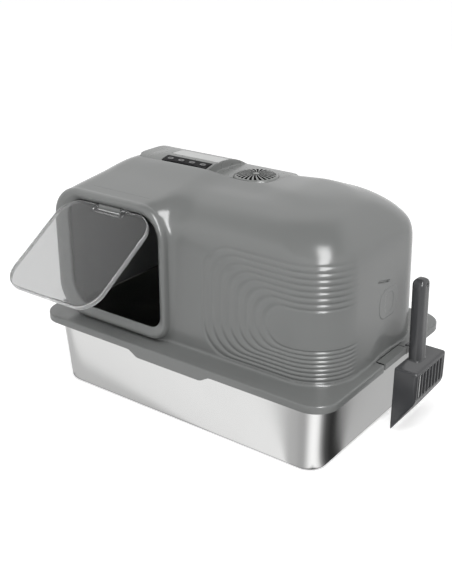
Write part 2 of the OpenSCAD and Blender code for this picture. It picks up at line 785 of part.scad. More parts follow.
module unit_base() {
    color("dimgray") difference() {
        union() {
            difference() {
                unit_plan(0, unit_z, unit_z + unit_floor);
                at_vent(unit_z - cut) cylinder(r = duct_r - duct_t, h = unit_floor + 2 * cut);
            }
            at_vent(duct_low) difference() {
                cylinder(r = duct_r, h = unit_z - duct_low + unit_floor);
                translate([0, 0, -cut]) cylinder(r = duct_r - duct_t, h = unit_z - duct_low + unit_floor + 2 * cut);
            }
            for (x = [panel_x - panel_l / 2 + post_r, panel_x + panel_l / 2 - post_r]) translate([x, panel_y, unit_z])
                cylinder(r = post_r, h = board_z - unit_z, $fn = 32);
        }
        for (p = unit_screw_places) translate([p[0], p[1], unit_z - cut]) cylinder(r = screw_r + pin_fit, h = unit_floor + 2 * cut, $fn = 32);
    }
}

module unit_screws() {
    color("silver") for (p = unit_screw_places) translate([p[0], p[1], unit_z + unit_floor]) {
        cylinder(r = screw_head_r, h = screw_head_h, $fn = 32);
        translate([0, 0, -unit_floor - wall_t]) cylinder(r = screw_r, h = unit_floor + wall_t, $fn = 32);
    }
}

module vent_grille() {
    r = vent_d / 2 - fit;
    top_shares = [[0, 1], [0.3, 0.99], [0.5, 0.95], [0.66, 0.89], [0.8, 0.8], [0.9, 0.68], [0.96, 0.5], [1, 0.26]];
    low_shares = [[1, 0], [0.9, 0], [0.86, 0.42], [0.8, 0.52], [0.66, 0.62], [0.5, 0.68], [0.3, 0.72], [0, 0.73]];
    color("darkgray") at_vent(vent_base) difference() {
        rotate_extrude() polygon([for (p = concat(top_shares, low_shares)) [p[0] * r, p[1] * (vent_rise + vent_edge_t)]]);
        for (i = [0:vent_slots - 1]) rotate([0, 0, 360 * i / vent_slots]) translate([vent_hub_r, 0, -cut])
            rotate([0, 0, vent_swirl]) linear_extrude(vent_rise * 3) polygon([[0, -slot_in / 2], [slot_run, -slot_out / 2], [slot_run, slot_out / 2], [0, slot_in / 2]]);
    }
}

slot_in = 1;
slot_out = 6;
slot_run = vent_d / 2 - vent_hub_r - 7;
vent_swirl = 14;

module fan_frame() {
    r = fan_d / 2;
    color("black") at_vent(fan_z0) {
        linear_extrude(fan_h) difference() {
            circle(r = r);
            circle(r = r - fan_ring_t);
        }
        linear_extrude(arm_t) difference() {
            union() {
                circle(r = fan_hub_r);
                for (a = [0, 120, 240]) rotate([0, 0, a]) translate([0, -arm_w / 2]) square([r - fan_ring_t / 2, arm_w]);
            }
            circle(r = shaft_r + pin_fit, $fn = 32);
        }
    }
}

module fan_motor() {
    color("silver") at_vent(fan_z0 + arm_t) difference() {
        cylinder(r = motor_r, h = fan_h / 2);
        translate([0, 0, -cut]) cylinder(r = shaft_r + pin_fit, h = fan_h, $fn = 32);
    }
}

module fan_impeller() {
    tip = fan_d / 2 - fan_ring_t - fan_gap;
    low = fan_z0 + arm_t + fan_gap;
    high = fan_z0 + fan_h - fan_gap;
    color("black") {
        at_vent(low) difference() {
            cylinder(r = fan_hub_r, h = high - low);
            translate([0, 0, -cut]) cylinder(r = motor_r + fan_gap, h = fan_h / 2 + fan_gap + cut);
        }
        at_vent(fan_z0 + fit) cylinder(r = shaft_r, h = high - fan_z0 - fit, $fn = 32);
        intersection() {
            at_vent(low + fan_gap) difference() {
                cylinder(r = tip, h = high - low - 2 * fan_gap);
                translate([0, 0, -cut]) cylinder(r = fan_hub_r - fan_gap / 2, h = fan_h);
            }
            for (i = [0:fan_blades - 1]) at_vent((low + high) / 2) rotate([0, 0, 360 * i / fan_blades]) rotate([blade_pitch, 0, 0])
                box([0, -blade_w / 2, -blade_t / 2], [tip + cut, blade_w / 2, blade_t / 2]);
        }
    }
}

module carbon_filter() {
    color("black") at_vent(duct_low + cap_t) cylinder(r = duct_r - duct_t - fit, h = filter_h);
}

module filter_cap() {
    r = duct_r - duct_t - fit;
    color("dimgray") at_vent(duct_low) difference() {
        cylinder(r = r, h = cap_t);
        for (k = [-4:4]) let (half = sqrt(r * r - pow(k * 2 * cap_slot_w, 2)) - cap_slot_w)
            box([k * 2 * cap_slot_w - cap_slot_w / 2, -half, -cut], [k * 2 * cap_slot_w + cap_slot_w / 2, half, cap_t + cut]);
    }
}

// Outline of a button, as a bar with round ends
module button_shape(g, z0, z1) {
    slab(-button_l / 2 - g, button_l / 2 + g, -button_d / 2 - g, button_d / 2 + g, button_d / 2 + g - fit, z0, z1);
}

function button_x(i) = (i - 1.5) * button_pitch;

module control_panel() {
    color("black") difference() {
        panel_blank(-fit / 2, -panel_t, fit / 2);
        for (i = [0:3]) on_panel() translate([button_x(i), 0, 0]) button_shape(button_gap, -panel_t - cut, cut);
    }
}

module button(i) {
    color("lightgray") on_panel() translate([button_x(i), 0, 0]) {
        button_shape(0, -panel_t, button_proud);
        translate([0, 0, -panel_t - button_stem]) cylinder(r = button_d / 4, h = button_stem, $fn = 32);
    }
}

module button_power() {
    button(0);
}

module button_timer() {
    button(1);
}

module button_speed() {
    button(2);
}

module button_lamp() {
    button(3);
}

// Height of the posts that carry the circuit board
board_drop = panel_t + button_stem + button_travel + fit;
board_z = panel_z - (board_drop + board_t) * cos(panel_tilt) - post_r * sin(panel_tilt) - 2 * fit;

module circuit_board() {
    color("darkgreen") on_panel() translate([0, 0, -board_drop - board_t])
        slab(-panel_l / 2, panel_l / 2, -panel_d / 2 + fit, panel_d / 2, panel_t, 0, board_t);
}

module battery_cells() {
    color("steelblue") for (k = [0, 1]) translate([unit_x0 + unit_r + k * (cell_l + cut), hump_y + unit_r, unit_z + unit_floor + cell_r])
        rotate([0, 90, 0]) cylinder(r = cell_r, h = cell_l);
}

module charge_socket() {
    color("silver") difference() {
        box([unit_x0, hump_y - socket_w / 2, socket_z - socket_h / 2], [unit_x0 + socket_d, hump_y + socket_w / 2, socket_z + socket_h / 2]);
        box([unit_x0 - cut, hump_y - socket_w / 2 + socket_t, socket_z - socket_h / 2 + socket_t],
            [unit_x0 + socket_d - socket_t, hump_y + socket_w / 2 - socket_t, socket_z + socket_h / 2 - socket_t]);
    }
}

// Side view of the scoop's basket, moved in by t
module basket_side(t) {
    polygon([[-t * 3, 0 - t], [scoop_d - t, -t], [scoop_d - t, -scoop_face + t / 3], [0, -scoop_l + t * 2.4], [-t * 3, -scoop_l + t * 2.4]]);
}

module scoop() {
    color("dimgray") translate([scoop_x, scoop_y, scoop_z1]) {
        difference() {
            translate([0, scoop_w / 2, 0]) rotate([90, 0, 0]) linear_extrude(scoop_w)
                polygon([[0, 0], [scoop_d, 0], [scoop_d, -scoop_face], [0, -scoop_l]]);
            translate([0, scoop_w / 2 - scoop_t, 0]) rotate([90, 0, 0]) linear_extrude(scoop_w - 2 * scoop_t) basket_side(scoop_t);
            for (k = [0:scoop_slots - 1]) scoop_slot(k);
        }
        difference() {
            translate([0, handle_y - scoop_y, 0]) intersection() {
                slab(0, handle_t, -handle_w / 2, handle_w / 2, handle_r, -scoop_t / 2, handle_l);
                end_slab(-handle_w / 2, handle_w / 2, -handle_l, handle_l, handle_w / 2 - scoop_t, -cut, handle_t + cut);
            }
            translate([-cut, handle_y - scoop_y, handle_l - hang_hole_l]) rotate([0, 90, 0]) cylinder(d = hang_hole_d, h = handle_t + 2 * cut);
        }
    }
    color("dimgray") difference() {
        union() {
            box([rim_hx - hook_in - hook_t, hook_y - hook_w / 2, rim_h + fit], [scoop_x + handle_r, hook_y + hook_w / 2, rim_h + fit + hook_t]);
            hook_lip();
        }
    }
}

module hook_lip() {
    box([rim_hx - hook_in - hook_t, hook_y - hook_w / 2, rim_h - hook_drop], [rim_hx - hook_in, hook_y + hook_w / 2, rim_h + fit + hook_t / 2]);
}

module scoop_slot(k) {
    pitch = (scoop_w - 2 * scoop_t) / (scoop_slots + 0.5);
    y = (k - (scoop_slots - 1) / 2) * pitch;
    box([scoop_d - scoop_t - cut, y - scoop_slot_w / 2, -scoop_face + scoop_t * 2], [scoop_d + cut, y + scoop_slot_w / 2, -scoop_t * 3]);
    lean = atan2(scoop_d, scoop_l - scoop_face);
    run = norm([scoop_d, scoop_l - scoop_face]);
    translate([scoop_d, y, -scoop_face]) rotate([0, lean, 0])
        box([-scoop_t * 2, -scoop_slot_w / 2, -run * 0.9], [cut, scoop_slot_w / 2, -scoop_t * 1.5]);
}

steel_pan();
hood_shell();
entry_frame();
flap_hinge_block();
flap_hinge_pin();
door_flap();
flap_block_screws();
right_clip();
right_clip_pin();
left_clip();
left_clip_pin();
unit_cover();
unit_base();
unit_screws();
vent_grille();
fan_frame();
fan_motor();
fan_impeller();
carbon_filter();
filter_cap();
control_panel();
button_power();
button_timer();
button_speed();
button_lamp();
circuit_board();
battery_cells();
charge_socket();
pale_plate();
scoop();
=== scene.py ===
import bpy
import math
import numpy as np
from mathutils import Matrix, Vector


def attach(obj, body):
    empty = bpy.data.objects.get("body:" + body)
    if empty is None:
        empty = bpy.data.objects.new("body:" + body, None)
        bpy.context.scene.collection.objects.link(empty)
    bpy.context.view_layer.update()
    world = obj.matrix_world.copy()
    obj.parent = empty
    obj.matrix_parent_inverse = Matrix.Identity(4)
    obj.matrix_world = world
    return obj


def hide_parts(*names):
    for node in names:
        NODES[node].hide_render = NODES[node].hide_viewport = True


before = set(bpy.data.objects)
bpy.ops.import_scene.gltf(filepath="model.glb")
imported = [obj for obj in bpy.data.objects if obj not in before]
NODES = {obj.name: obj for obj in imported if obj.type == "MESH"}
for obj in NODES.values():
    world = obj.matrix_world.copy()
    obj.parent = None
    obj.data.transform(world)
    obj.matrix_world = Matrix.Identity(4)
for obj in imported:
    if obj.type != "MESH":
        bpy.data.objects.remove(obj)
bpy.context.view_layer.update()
MM = 0.001

# Measures that several pieces share, in millimetres.
RIM_TOP, RIM_UNDER = 137, 134
RIM_HALF_X, RIM_HALF_Y, RIM_CORNER = 300, 206, 43
WALL = 3                                # thickness of the hood
POCKET = (-228, 60, -16, 106, 26.5)     # hollow for the odour unit: x from and to, y from and to, corner radius
POCKET_FLOOR = 370
POCKET_EDGE = 0.7                       # how far the roof's edge stands back from the pocket's wall
VENT_X, VENT_Y, VENT_SEAT = 8, 32, 383.6


def by_speed(fine):
    return fine


# ---- Distance fields, in millimetres ----

def smin(a, b, k):
    """The lower of two fields, blended where they are closer than k."""
    h = np.maximum(k - np.abs(a - b), 0)
    return np.minimum(a, b) - h * h / (4 * k)


def smax(a, b, k):
    return -smin(-a, -b, k)


def step(a, b, v):
    """A smooth rise from nought at a to one at b."""
    t = np.clip((v - a) / (b - a), 0, 1)
    return t * t * (3 - 2 * t)


def rect(u, v, u0, u1, v0, v1, r_low, r_high=None, r_left=None):
    """Signed distance to a rectangle whose lower, upper and lower left corners have their own radii."""
    cu, cv, hu, hv = (u0 + u1) / 2, (v0 + v1) / 2, (u1 - u0) / 2, (v1 - v0) / 2
    below = r_low if r_left is None else np.where(u < cu, r_left, r_low)
    r = r_low if r_high is None else np.where(v < cv, below, r_high)
    a, b = np.abs(u - cu) - hu + r, np.abs(v - cv) - hv + r
    return np.minimum(np.maximum(a, b), 0) + np.hypot(np.maximum(a, 0), np.maximum(b, 0)) - r


def block(x, y, z, a, b, r):
    """Signed distance to a box with rounded edges, from corner a to corner b."""
    q = [np.abs(v - (a[i] + b[i]) / 2) - (b[i] - a[i]) / 2 + r for i, v in enumerate((x, y, z))]
    out = np.sqrt(sum(np.maximum(v, 0) ** 2 for v in q))
    return out + np.minimum(np.maximum(np.maximum(q[0], q[1]), q[2]), 0) - r


def half_plane(x, z, a, b):
    """Signed distance from the line through a and b, positive on its left."""
    dx, dz = b[0] - a[0], b[1] - a[1]
    return (-(x - a[0]) * dz + (z - a[1]) * dx) / math.hypot(dx, dz)


def tilted(u, v, u0, v0, angle):
    """Coordinates along and across a line through (u0, v0) at an angle in radians."""
    s, c = math.sin(angle), math.cos(angle)
    return (u - u0) * c + (v - v0) * s, -(u - u0) * s + (v - v0) * c


def smooth_curve(xs, ys, x):
    """Monotone cubic through the points (xs, ys), flat beyond them."""
    xs, ys = np.asarray(xs, float), np.asarray(ys, float)
    h, d = np.diff(xs), np.diff(ys) / np.diff(xs)
    m = np.zeros_like(ys)
    same = d[:-1] * d[1:] > 0
    w1, w2 = 2 * h[1:] + h[:-1], h[1:] + 2 * h[:-1]
    m[1:-1][same] = ((w1 + w2)[same]) / (w1[same] / d[:-1][same] + w2[same] / d[1:][same])
    m[0], m[-1] = d[0], d[-1]
    x = np.clip(x, xs[0], xs[-1])
    i = np.clip(np.searchsorted(xs, x) - 1, 0, len(h) - 1)
    t = (x - xs[i]) / h[i]
    return (ys[i] * (1 + 2 * t) * (1 - t) ** 2 + ys[i + 1] * t * t * (3 - 2 * t)
            + m[i] * h[i] * t * (1 - t) ** 2 - m[i + 1] * h[i] * t * t * (1 - t))


def soften(f, axes, passes):
    """The field averaged with its neighbours along each axis, several times over."""
    for _ in range(passes):
        for axis in axes:
            p = np.pad(f, [(1, 1) if i == axis else (0, 0) for i in range(f.ndim)], mode="edge")
            n = f.shape[axis]
            a, b, c = (np.take(p, range(s, s + n), axis) for s in (0, 1, 2))
            f = (a + 2 * b + c) / 4
    return f


def apart(a, b, cell):
    """Nought where two fields run side by side, one where their surfaces cross at right angles."""
    ga, gb = np.gradient(a, cell), np.gradient(b, cell)
    both = sum(u * v for u, v in zip(ga, gb))
    size = np.sqrt(sum(u * u for u in ga) * sum(v * v for v in gb))
    return soften(np.clip(1 - both / np.maximum(size, 1e-6), 0, 1) ** 0.8, (0, 1, 2), 3)


def grid(lo, hi, cell):
    """Coordinates of a grid's points as three arrays that broadcast, with its start and its cell."""
    lo, hi, cell = (np.array(v, float) * np.ones(3) for v in (lo, hi, cell))
    n = np.maximum(3, np.ceil((hi - lo) / cell).astype(int) + 1)
    a = [(lo[i] + cell[i] * np.arange(n[i])).astype(np.float32) for i in range(3)]
    return a[0][:, None, None], a[1][None, :, None], a[2][None, None, :], lo, cell


def nets(f, lo, cell):
    """Mesh of the field's zero level: points, quads that face the positive side, and normals."""
    f = np.where(f == 0, np.float32(1e-5), f)
    s = f < 0
    corners = [(i, j, k) for i in (0, 1) for j in (0, 1) for k in (0, 1)]
    m = tuple(a - 1 for a in f.shape)
    count = sum(s[c[0]:c[0] + m[0], c[1]:c[1] + m[1], c[2]:c[2] + m[2]].astype(np.int8) for c in corners)
    cells = np.argwhere((count > 0) & (count < 8))
    index = np.full(m, -1, np.int32)
    index[tuple(cells.T)] = np.arange(len(cells))
    value = {c: f[tuple((cells + c).T)].astype(float) for c in corners}
    # Each crossed cell gets one point, the mean of the crossings on its edges.
    total, hits = np.zeros((len(cells), 3)), np.zeros(len(cells))
    for a in corners:
        for axis in range(3):
            if a[axis]:
                continue
            va, vb = value[a], value[tuple(1 if i == axis else a[i] for i in range(3))]
            cross = (va < 0) != (vb < 0)
            p = np.tile(np.array(a, float), (len(cells), 1))
            p[:, axis] += np.where(cross, va / np.where(cross, va - vb, 1), 0)
            total += p * cross[:, None]
            hits += cross
    local = total / hits[:, None]
    # Each crossed edge of the grid gets one quad between the four cells round it.
    faces = []
    for axis in range(3):
        du, dv = np.eye(3, dtype=int)[(axis + 1) % 3], np.eye(3, dtype=int)[(axis + 2) % 3]
        a = [slice(1, m[i]) for i in range(3)]
        b = list(a)
        a[axis], b[axis] = slice(0, m[axis]), slice(1, m[axis] + 1)
        here, there = s[tuple(a)], s[tuple(b)]
        for mask, way in ((here & ~there, 1), (~here & there, -1)):
            e = np.argwhere(mask) + [0 if i == axis else 1 for i in range(3)]
            quad = np.stack([index[tuple(q.T)] for q in (e - du - dv, e - dv, e, e - du)], 1)
            faces.append(quad[:, ::way])
    faces = np.concatenate(faces)
    normal = np.zeros_like(local)
    top = np.array(f.shape) - 1
    for c in corners:
        at = cells + c
        weight = np.prod([local[:, i] if c[i] else 1 - local[:, i] for i in range(3)], 0)
        for i in range(3):
            e = np.eye(3, dtype=int)[i]
            up, down = np.minimum(at + e, top), np.maximum(at - e, 0)
            slope = (f[tuple(up.T)] - f[tuple(down.T)]) / ((up - down)[:, i] * cell[i])
            normal[:, i] += weight * slope
    normal /= np.maximum(1e-9, np.linalg.norm(normal, axis=1))[:, None]
    return lo + (cells + local) * cell, faces, normal


# ---- Turning points into pieces ----

def new_object(name, data):
    o = bpy.data.objects.new(name, data)
    bpy.context.scene.collection.objects.link(o)
    return o


def piece(name, points, faces, body, nodes, slot, look=None, normals=None, sharp=None):
    """A mesh piece from points in millimetres; look names its material where that isn't the slot's own."""
    mesh = bpy.data.meshes.new(name)
    points = np.asarray(points, float) * MM
    if isinstance(faces, np.ndarray):
        mesh.vertices.add(len(points))
        mesh.vertices.foreach_set("co", points.astype(np.float32).ravel())
        mesh.loops.add(faces.size)
        mesh.loops.foreach_set("vertex_index", faces.astype(np.int32).ravel())
        mesh.polygons.add(len(faces))
        starts = np.arange(0, faces.size, faces.shape[1], dtype=np.int32)
        mesh.polygons.foreach_set("loop_start", starts)
        mesh.update(calc_edges=True)
    else:
        mesh.from_pydata([tuple(p) for p in points], [], [tuple(f) for f in faces])
    mesh.validate()
    mesh.polygons.foreach_set("use_smooth", np.ones(len(mesh.polygons), bool))
    if sharp is not None:
        mesh.set_sharp_from_angle(angle=math.radians(sharp))
    if normals is not None:
        mesh.normals_split_custom_set_from_vertices([tuple(n) for n in normals])
    o = new_object(name, mesh)
    mesh.materials.append(MATS[look or slot])
    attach(o, body)
    if nodes:
        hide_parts(*nodes)
    return o


def moved(points, place):
    """Points turned and shifted by a matrix."""
    m = np.array(place)
    return points @ m[:3, :3].T + m[:3, 3]


def field_piece(name, field, lo, hi, cell, body, nodes, slot, place=None):
    """A mesh piece from a distance field within the box from lo to hi."""
    x, y, z, lo, cell = grid(lo, hi, cell)
    shape = tuple(np.broadcast_shapes(x.shape, y.shape, z.shape))
    f = np.broadcast_to(field(x, y, z), shape).astype(np.float32)
    points, faces, normals = nets(f, lo, cell)
    if place is not None:
        points = moved(points, place)
        normals = normals @ np.array(place)[:3, :3].T
    return piece(name, points, faces, body, nodes, slot, normals=normals)


def turned(degrees):
    """Sine and cosine of an angle in degrees."""
    a = math.radians(degrees)
    return math.sin(a), math.cos(a)


def quarter(cx, cy, r, start, steps):
    """Points of a quarter turn about (cx, cy), from the angle start in degrees."""
    angles = [math.radians(start + 90 * i / steps) for i in range(steps + 1)]
    return [(cx + r * math.cos(a), cy + r * math.sin(a)) for a in angles]


def outline(u0, u1, v0, v1, r_low, r_high, r_left=None, *, steps):
    """Points round a rounded rectangle, anticlockwise from the lower right corner."""
    left = r_low if r_left is None else r_left
    return (quarter(u1 - r_low, v0 + r_low, r_low, -90, steps)
            + quarter(u1 - r_high, v1 - r_high, r_high, 0, steps)
            + quarter(u0 + r_high, v1 - r_high, r_high, 90, steps)
            + quarter(u0 + left, v0 + left, left, 180, steps))


def level(points, z):
    """Points of a plan at the height z, or each at its own."""
    return np.column_stack([points, np.broadcast_to(z, len(points))])


def sweep(rings, close=False, cap_first=False, cap_last=False, flip=False):
    """Points and quads through rings of matched points, in the order given."""
    n, m = len(rings[0]), len(rings)
    points = np.concatenate([np.asarray(r, float) for r in rings])
    faces = []
    for j in range(m if close else m - 1):
        k = (j + 1) % m
        faces += [(j * n + i, j * n + (i + 1) % n, k * n + (i + 1) % n, k * n + i) for i in range(n)]
    if cap_first:
        faces.append(tuple(range(n))[::-1])
    if cap_last:
        faces.append(tuple((m - 1) * n + i for i in range(n)))
    return points, ([f[::-1] for f in faces] if flip else faces)


# ---- Materials ----

def node(tree, kind):
    return tree.nodes.new("ShaderNode" + kind)


def feed(tree, socket, value):
    """Link another node's output to a socket, or set the socket's own value."""
    if isinstance(value, bpy.types.NodeSocket):
        tree.links.new(value, socket)
    else:
        socket.default_value = value


def mixer(tree, a, b, fac):
    """Colour a where fac is nought, b where it is one."""
    n = node(tree, "Mix")
    n.data_type = "RGBA"
    for i, v in ((0, fac), (6, a), (7, b)):
        feed(tree, n.inputs[i], v)
    return n.outputs[2]


def maths(tree, kind, *values):
    n = node(tree, "Math")
    n.operation = kind
    for i, v in enumerate(values):
        feed(tree, n.inputs[i], v)
    return n.outputs[0]


def noise(tree, scale, detail, stretch=None, rough=0.5):
    t = node(tree, "TexCoord")
    n = node(tree, "TexNoise")
    n.inputs["Scale"].default_value = scale
    n.inputs["Detail"].default_value = detail
    n.inputs["Roughness"].default_value = rough
    source = t.outputs["Object"]
    if stretch:
        m = node(tree, "Mapping")
        m.inputs["Scale"].default_value = stretch
        tree.links.new(source, m.inputs["Vector"])
        source = m.outputs["Vector"]
    tree.links.new(source, n.inputs["Vector"])
    return n.outputs["Fac"]


def remap(tree, value, lo, hi, a=0.3, b=0.7):
    """The value's range from a to b stretched to lo to hi."""
    n = node(tree, "MapRange")
    for k, v in (("From Min", a), ("From Max", b), ("To Min", lo), ("To Max", hi)):
        n.inputs[k].default_value = v
    tree.links.new(value, n.inputs["Value"])
    return n.outputs["Result"]


def base_material(color, roughness, metallic=0.0, **extra):
    mat = bpy.data.materials.new("look")
    mat.use_nodes = True
    tree = mat.node_tree
    p = tree.nodes["Principled BSDF"]
    p.inputs["Base Color"].default_value = (*color, 1)
    p.inputs["Roughness"].default_value = roughness
    p.inputs["Metallic"].default_value = metallic
    for k, v in extra.items():
        p.inputs[k.replace("_", " ")].default_value = v
    return mat, tree, p


def add_bump(tree, p, value, strength, distance):
    b = node(tree, "Bump")
    b.inputs["Strength"].default_value = strength
    b.inputs["Distance"].default_value = distance
    tree.links.new(value, b.inputs["Height"])
    tree.links.new(b.outputs["Normal"], p.inputs["Normal"])


def plastic(color, roughness, spread=0.12, grain=900, bump=0.15, **extra):
    """Moulded plastic: a faint grain, slow changes in sheen and colour."""
    mat, tree, p = base_material(color, roughness, **extra)
    slow = noise(tree, 9, 2)
    light = tuple(min(1, c * (1 + spread / 2)) for c in color)
    dark = tuple(c * (1 - spread / 2) for c in color)
    tree.links.new(mixer(tree, (*dark, 1), (*light, 1), slow), p.inputs["Base Color"])
    sheen = remap(tree, noise(tree, 60, 4), roughness * 0.93, roughness * 1.08)
    tree.links.new(sheen, p.inputs["Roughness"])
    add_bump(tree, p, noise(tree, grain, 2), bump, 0.00008)
    return mat


def steel(color, roughness, along, strength=0.25):
    """Brushed steel: fine scratches along one direction."""
    mat, tree, p = base_material(color, roughness, 1.0)
    lines = noise(tree, 1, 4, stretch=along, rough=0.6)
    tree.links.new(remap(tree, lines, roughness * 0.9, roughness * 1.12), p.inputs["Roughness"])
    dull = noise(tree, 14, 3)
    tree.links.new(mixer(tree, (*[c * 0.94 for c in color], 1), (*color, 1), dull), p.inputs["Base Color"])
    add_bump(tree, p, lines, strength, 0.00006)
    return mat


def clear(color, low, high, weight):
    """Clear plastic with a roughness that wanders from low to high."""
    mat, tree, p = base_material(color, low, Transmission_Weight=weight, IOR=1.49)
    tree.links.new(remap(tree, noise(tree, 40, 4), low, high), p.inputs["Roughness"])
    return mat


def ring_marked():
    """Dark button with a plain pale ring laid into its face."""
    mat = plastic((0.03, 0.03, 0.032), 0.35)
    tree = mat.node_tree
    p = tree.nodes["Principled BSDF"]
    place = node(tree, "TexCoord")
    shift = node(tree, "Mapping")
    shift.inputs["Location"].default_value = (-1, -1, 0)
    shift.inputs["Scale"].default_value = (2, 2, 0)
    size = node(tree, "VectorMath")
    size.operation = "LENGTH"
    tree.links.new(place.outputs["Generated"], shift.inputs["Vector"])
    tree.links.new(shift.outputs["Vector"], size.inputs[0])
    ring_radius, ring_half_width = 0.7, 0.14
    ring = maths(tree, "COMPARE", size.outputs["Value"], ring_radius, ring_half_width)
    under = p.inputs["Base Color"].links[0].from_socket
    tree.links.new(mixer(tree, under, (0.2, 0.2, 0.2, 1), ring), p.inputs["Base Color"])
    return mat


# Colour and roughness of each look; for plastics then the spread of lightness.
MATS = {
    "hood_plastic": plastic((0.164, 0.169, 0.166), 0.19, 0.08, bump=0.06),
    "unit_plastic": plastic((0.19, 0.195, 0.191), 0.28, 0.06, bump=0.01),
    "vent_plastic": plastic((0.21, 0.215, 0.21), 0.28, 0.06, bump=0.04),
    "block_plastic": plastic((0.165, 0.17, 0.167), 0.3),
    # painted shade: near black and matt, for sheets put where only shade falls
    "painted_shade_black": plastic((0.004, 0.004, 0.004), 0.9, Specular_IOR_Level=0.0),
    "dark_plastic": plastic((0.014, 0.014, 0.015), 0.55, bump=0.3),
    "scoop_plastic": plastic((0.05, 0.051, 0.054), 0.16),
    "plate_plastic": plastic((0.5, 0.505, 0.5), 0.4, 0.1, bump=0.05),
    "panel_black": plastic((0.008, 0.008, 0.009), 0.3, bump=0.03, Specular_IOR_Level=0.06),
    "pan_steel": steel((0.7, 0.7, 0.695), 0.2, (6, 6, 900), 0.03),
    "pin_steel": steel((0.75, 0.75, 0.76), 0.22, (400, 30, 30)),
    "motor_metal": steel((0.6, 0.6, 0.6), 0.3, (30, 30, 500)),
    "socket_metal": steel((0.7, 0.7, 0.71), 0.3, (300, 30, 30)),
    "carbon": plastic((0.015, 0.015, 0.015), 0.9, grain=500, bump=1.0),
    "board": plastic((0.02, 0.14, 0.06), 0.4),
    "cell_sleeve": plastic((0.08, 0.22, 0.45), 0.35),
    "clear_plastic": clear((0.68, 0.685, 0.685), 0.03, 0.06, 0.97),
    "edge_plastic": clear((0.75, 0.755, 0.755), 0.08, 0.14, 0.8),
    "button_plastic": ring_marked(),
}
for slot, look in MATS.items():
    look.name = slot + "_look"


# ---- Hood ----

BODY_FOOT, CROWN_FOOT, CROWN_RISE = 134, 300, 97
# Share of the crown's rise, and how far its right, front, back and left edges have moved in there.
CROWN = [(0, 0, 0, 0, 0), (0.16, 0.004, 0.003, 0.003, 0.007), (0.30, 0.015, 0.013, 0.02, 0.02),
         (0.42, 0.042, 0.036, 0.05, 0.038), (0.505, 0.080, 0.074, 0.1, 0.055), (0.60, 0.125, 0.14, 0.18, 0.08),
         (0.69, 0.18, 0.23, 0.29, 0.105), (0.784, 0.247, 0.375, 0.43, 0.142), (0.845, 0.303, 0.53, 0.58, 0.173),
         (0.918, 0.42, 0.76, 0.78, 0.235), (0.959, 0.56, 0.87, 0.88, 0.31), (0.985, 0.8, 0.95, 0.95, 0.52),
         (1, 1, 1, 1, 1)]
# Depth y, and the entry tunnel's left, right and top edges there.
TUNNEL = [(-168, -272.5, -24, 373.5), (-150, -271.9, -17, 376.5), (-90, -269.4, -7.8, 385.2),
          (-9.4, -265.5, -10.4, 396.4), (19.2, -262.1, -18.2, 395.6), (60.8, -251.7, -32.5, 378.7),
          (92, -236.1, -42.9, 347.5)]
RINGS, RING_DEPTH = 9, 1.3
CLIP_Y = 19
DECK_DROP = 4.8     # how much lower the roof runs round the unit's deck


def body_edges(z):
    """Left, right, front and back edges of the hood's body at height z."""
    h = np.clip((z - CROWN_FOOT) / CROWN_RISE, 0, 1)
    t = np.array(CROWN)
    right, front, back, left = (smooth_curve(t[:, 0], t[:, i], h) for i in range(1, 5))
    wall = np.clip((z - BODY_FOOT) / (CROWN_FOOT - BODY_FOOT), 0, 1)
    upright = z < CROWN_FOOT
    x1 = np.where(upright, 281 - 4 * wall, 277 - right * 199)
    x0 = np.where(upright, -281 + 4 * wall, -277 + left * 217)
    y0 = np.where(upright, -162 + 3 * wall, -159 + front * 143)
    y1 = np.where(upright, 158 - 3 * wall, 155 - back * 95)
    return x0, x1, y0, y1


def body_distance(x, y, z):
    x0, x1, y0, y1 = body_edges(z)
    return rect(x, y, x0, x1, y0, y1, np.minimum(78, 0.475 * (y1 - y0)))


def crown_height(x, y):
    """Height of the hood's roof over each point of the plan."""
    levels = CROWN_FOOT + CROWN_RISE * (1 - (1 - np.linspace(0, 1, 140)) ** 2)
    roof = np.full(np.broadcast_shapes(x.shape, y.shape), float(CROWN_FOOT))
    last = body_distance(x, y, levels[0])
    for under, over in zip(levels, levels[1:]):
        d = body_distance(x, y, over)
        here = (last < 0) & (d >= 0)
        with np.errstate(divide="ignore", invalid="ignore"):
            t = np.where(here, -last / (d - last), 0)
        roof = np.where(here, under + (over - under) * t, roof)
        last = d
    return np.where(last < 0, CROWN_FOOT + CROWN_RISE, roof)


def ripples(x, y, z):
    """Depth of the rings of grooves that run round the hood's front right corner."""
    rows = [(41 + 17 * i, 144 + 7.2 * i, 330 - 9.7 * i, 52 - 2.5 * i) for i in range(RINGS)]
    d = [-rect(x, z, a, 420, b, c, r) for a, b, c, r in rows]
    t = sum(np.clip(d[i] / np.maximum(d[i] - d[i + 1], 1e-3), 0, 1) for i in range(RINGS - 1))
    wave = (0.5 + 0.5 * np.cos(2 * math.pi * t)) ** 1.6
    wave = np.where(t > RINGS - 1.5, 0, wave)
    wave = np.where(d[0] < 0, np.exp(-(d[0] / 3.0) ** 2), wave)
    return RING_DEPTH * wave * step(-72, -134, y) * step(10, 40, x)


def end_relief(x, y, z):
    """Depth of the oval pad with its shallow dish, and of the slit over it, on the hood's ends."""
    pad = step(0.7, -0.7, rect(y, z, -12, 50, 203, 253, 20))
    dish = step(0.9, -1.4, rect(y, z, 6, 34, 211, 245, 11))
    u, v = tilted(y, z, 0.5, 269, math.radians(-14))
    slit = step(0.6, -0.8, rect(u, v, -20, 20, -1.8, 1.8, 1.7)) * step(0, 1, x)
    return step(262, 270, np.abs(x)) * (0.5 * dish - 0.75 * pad + 3.0 * slit)


def relief(x, y, z):
    return ripples(x, y, z) + end_relief(x, y, z)


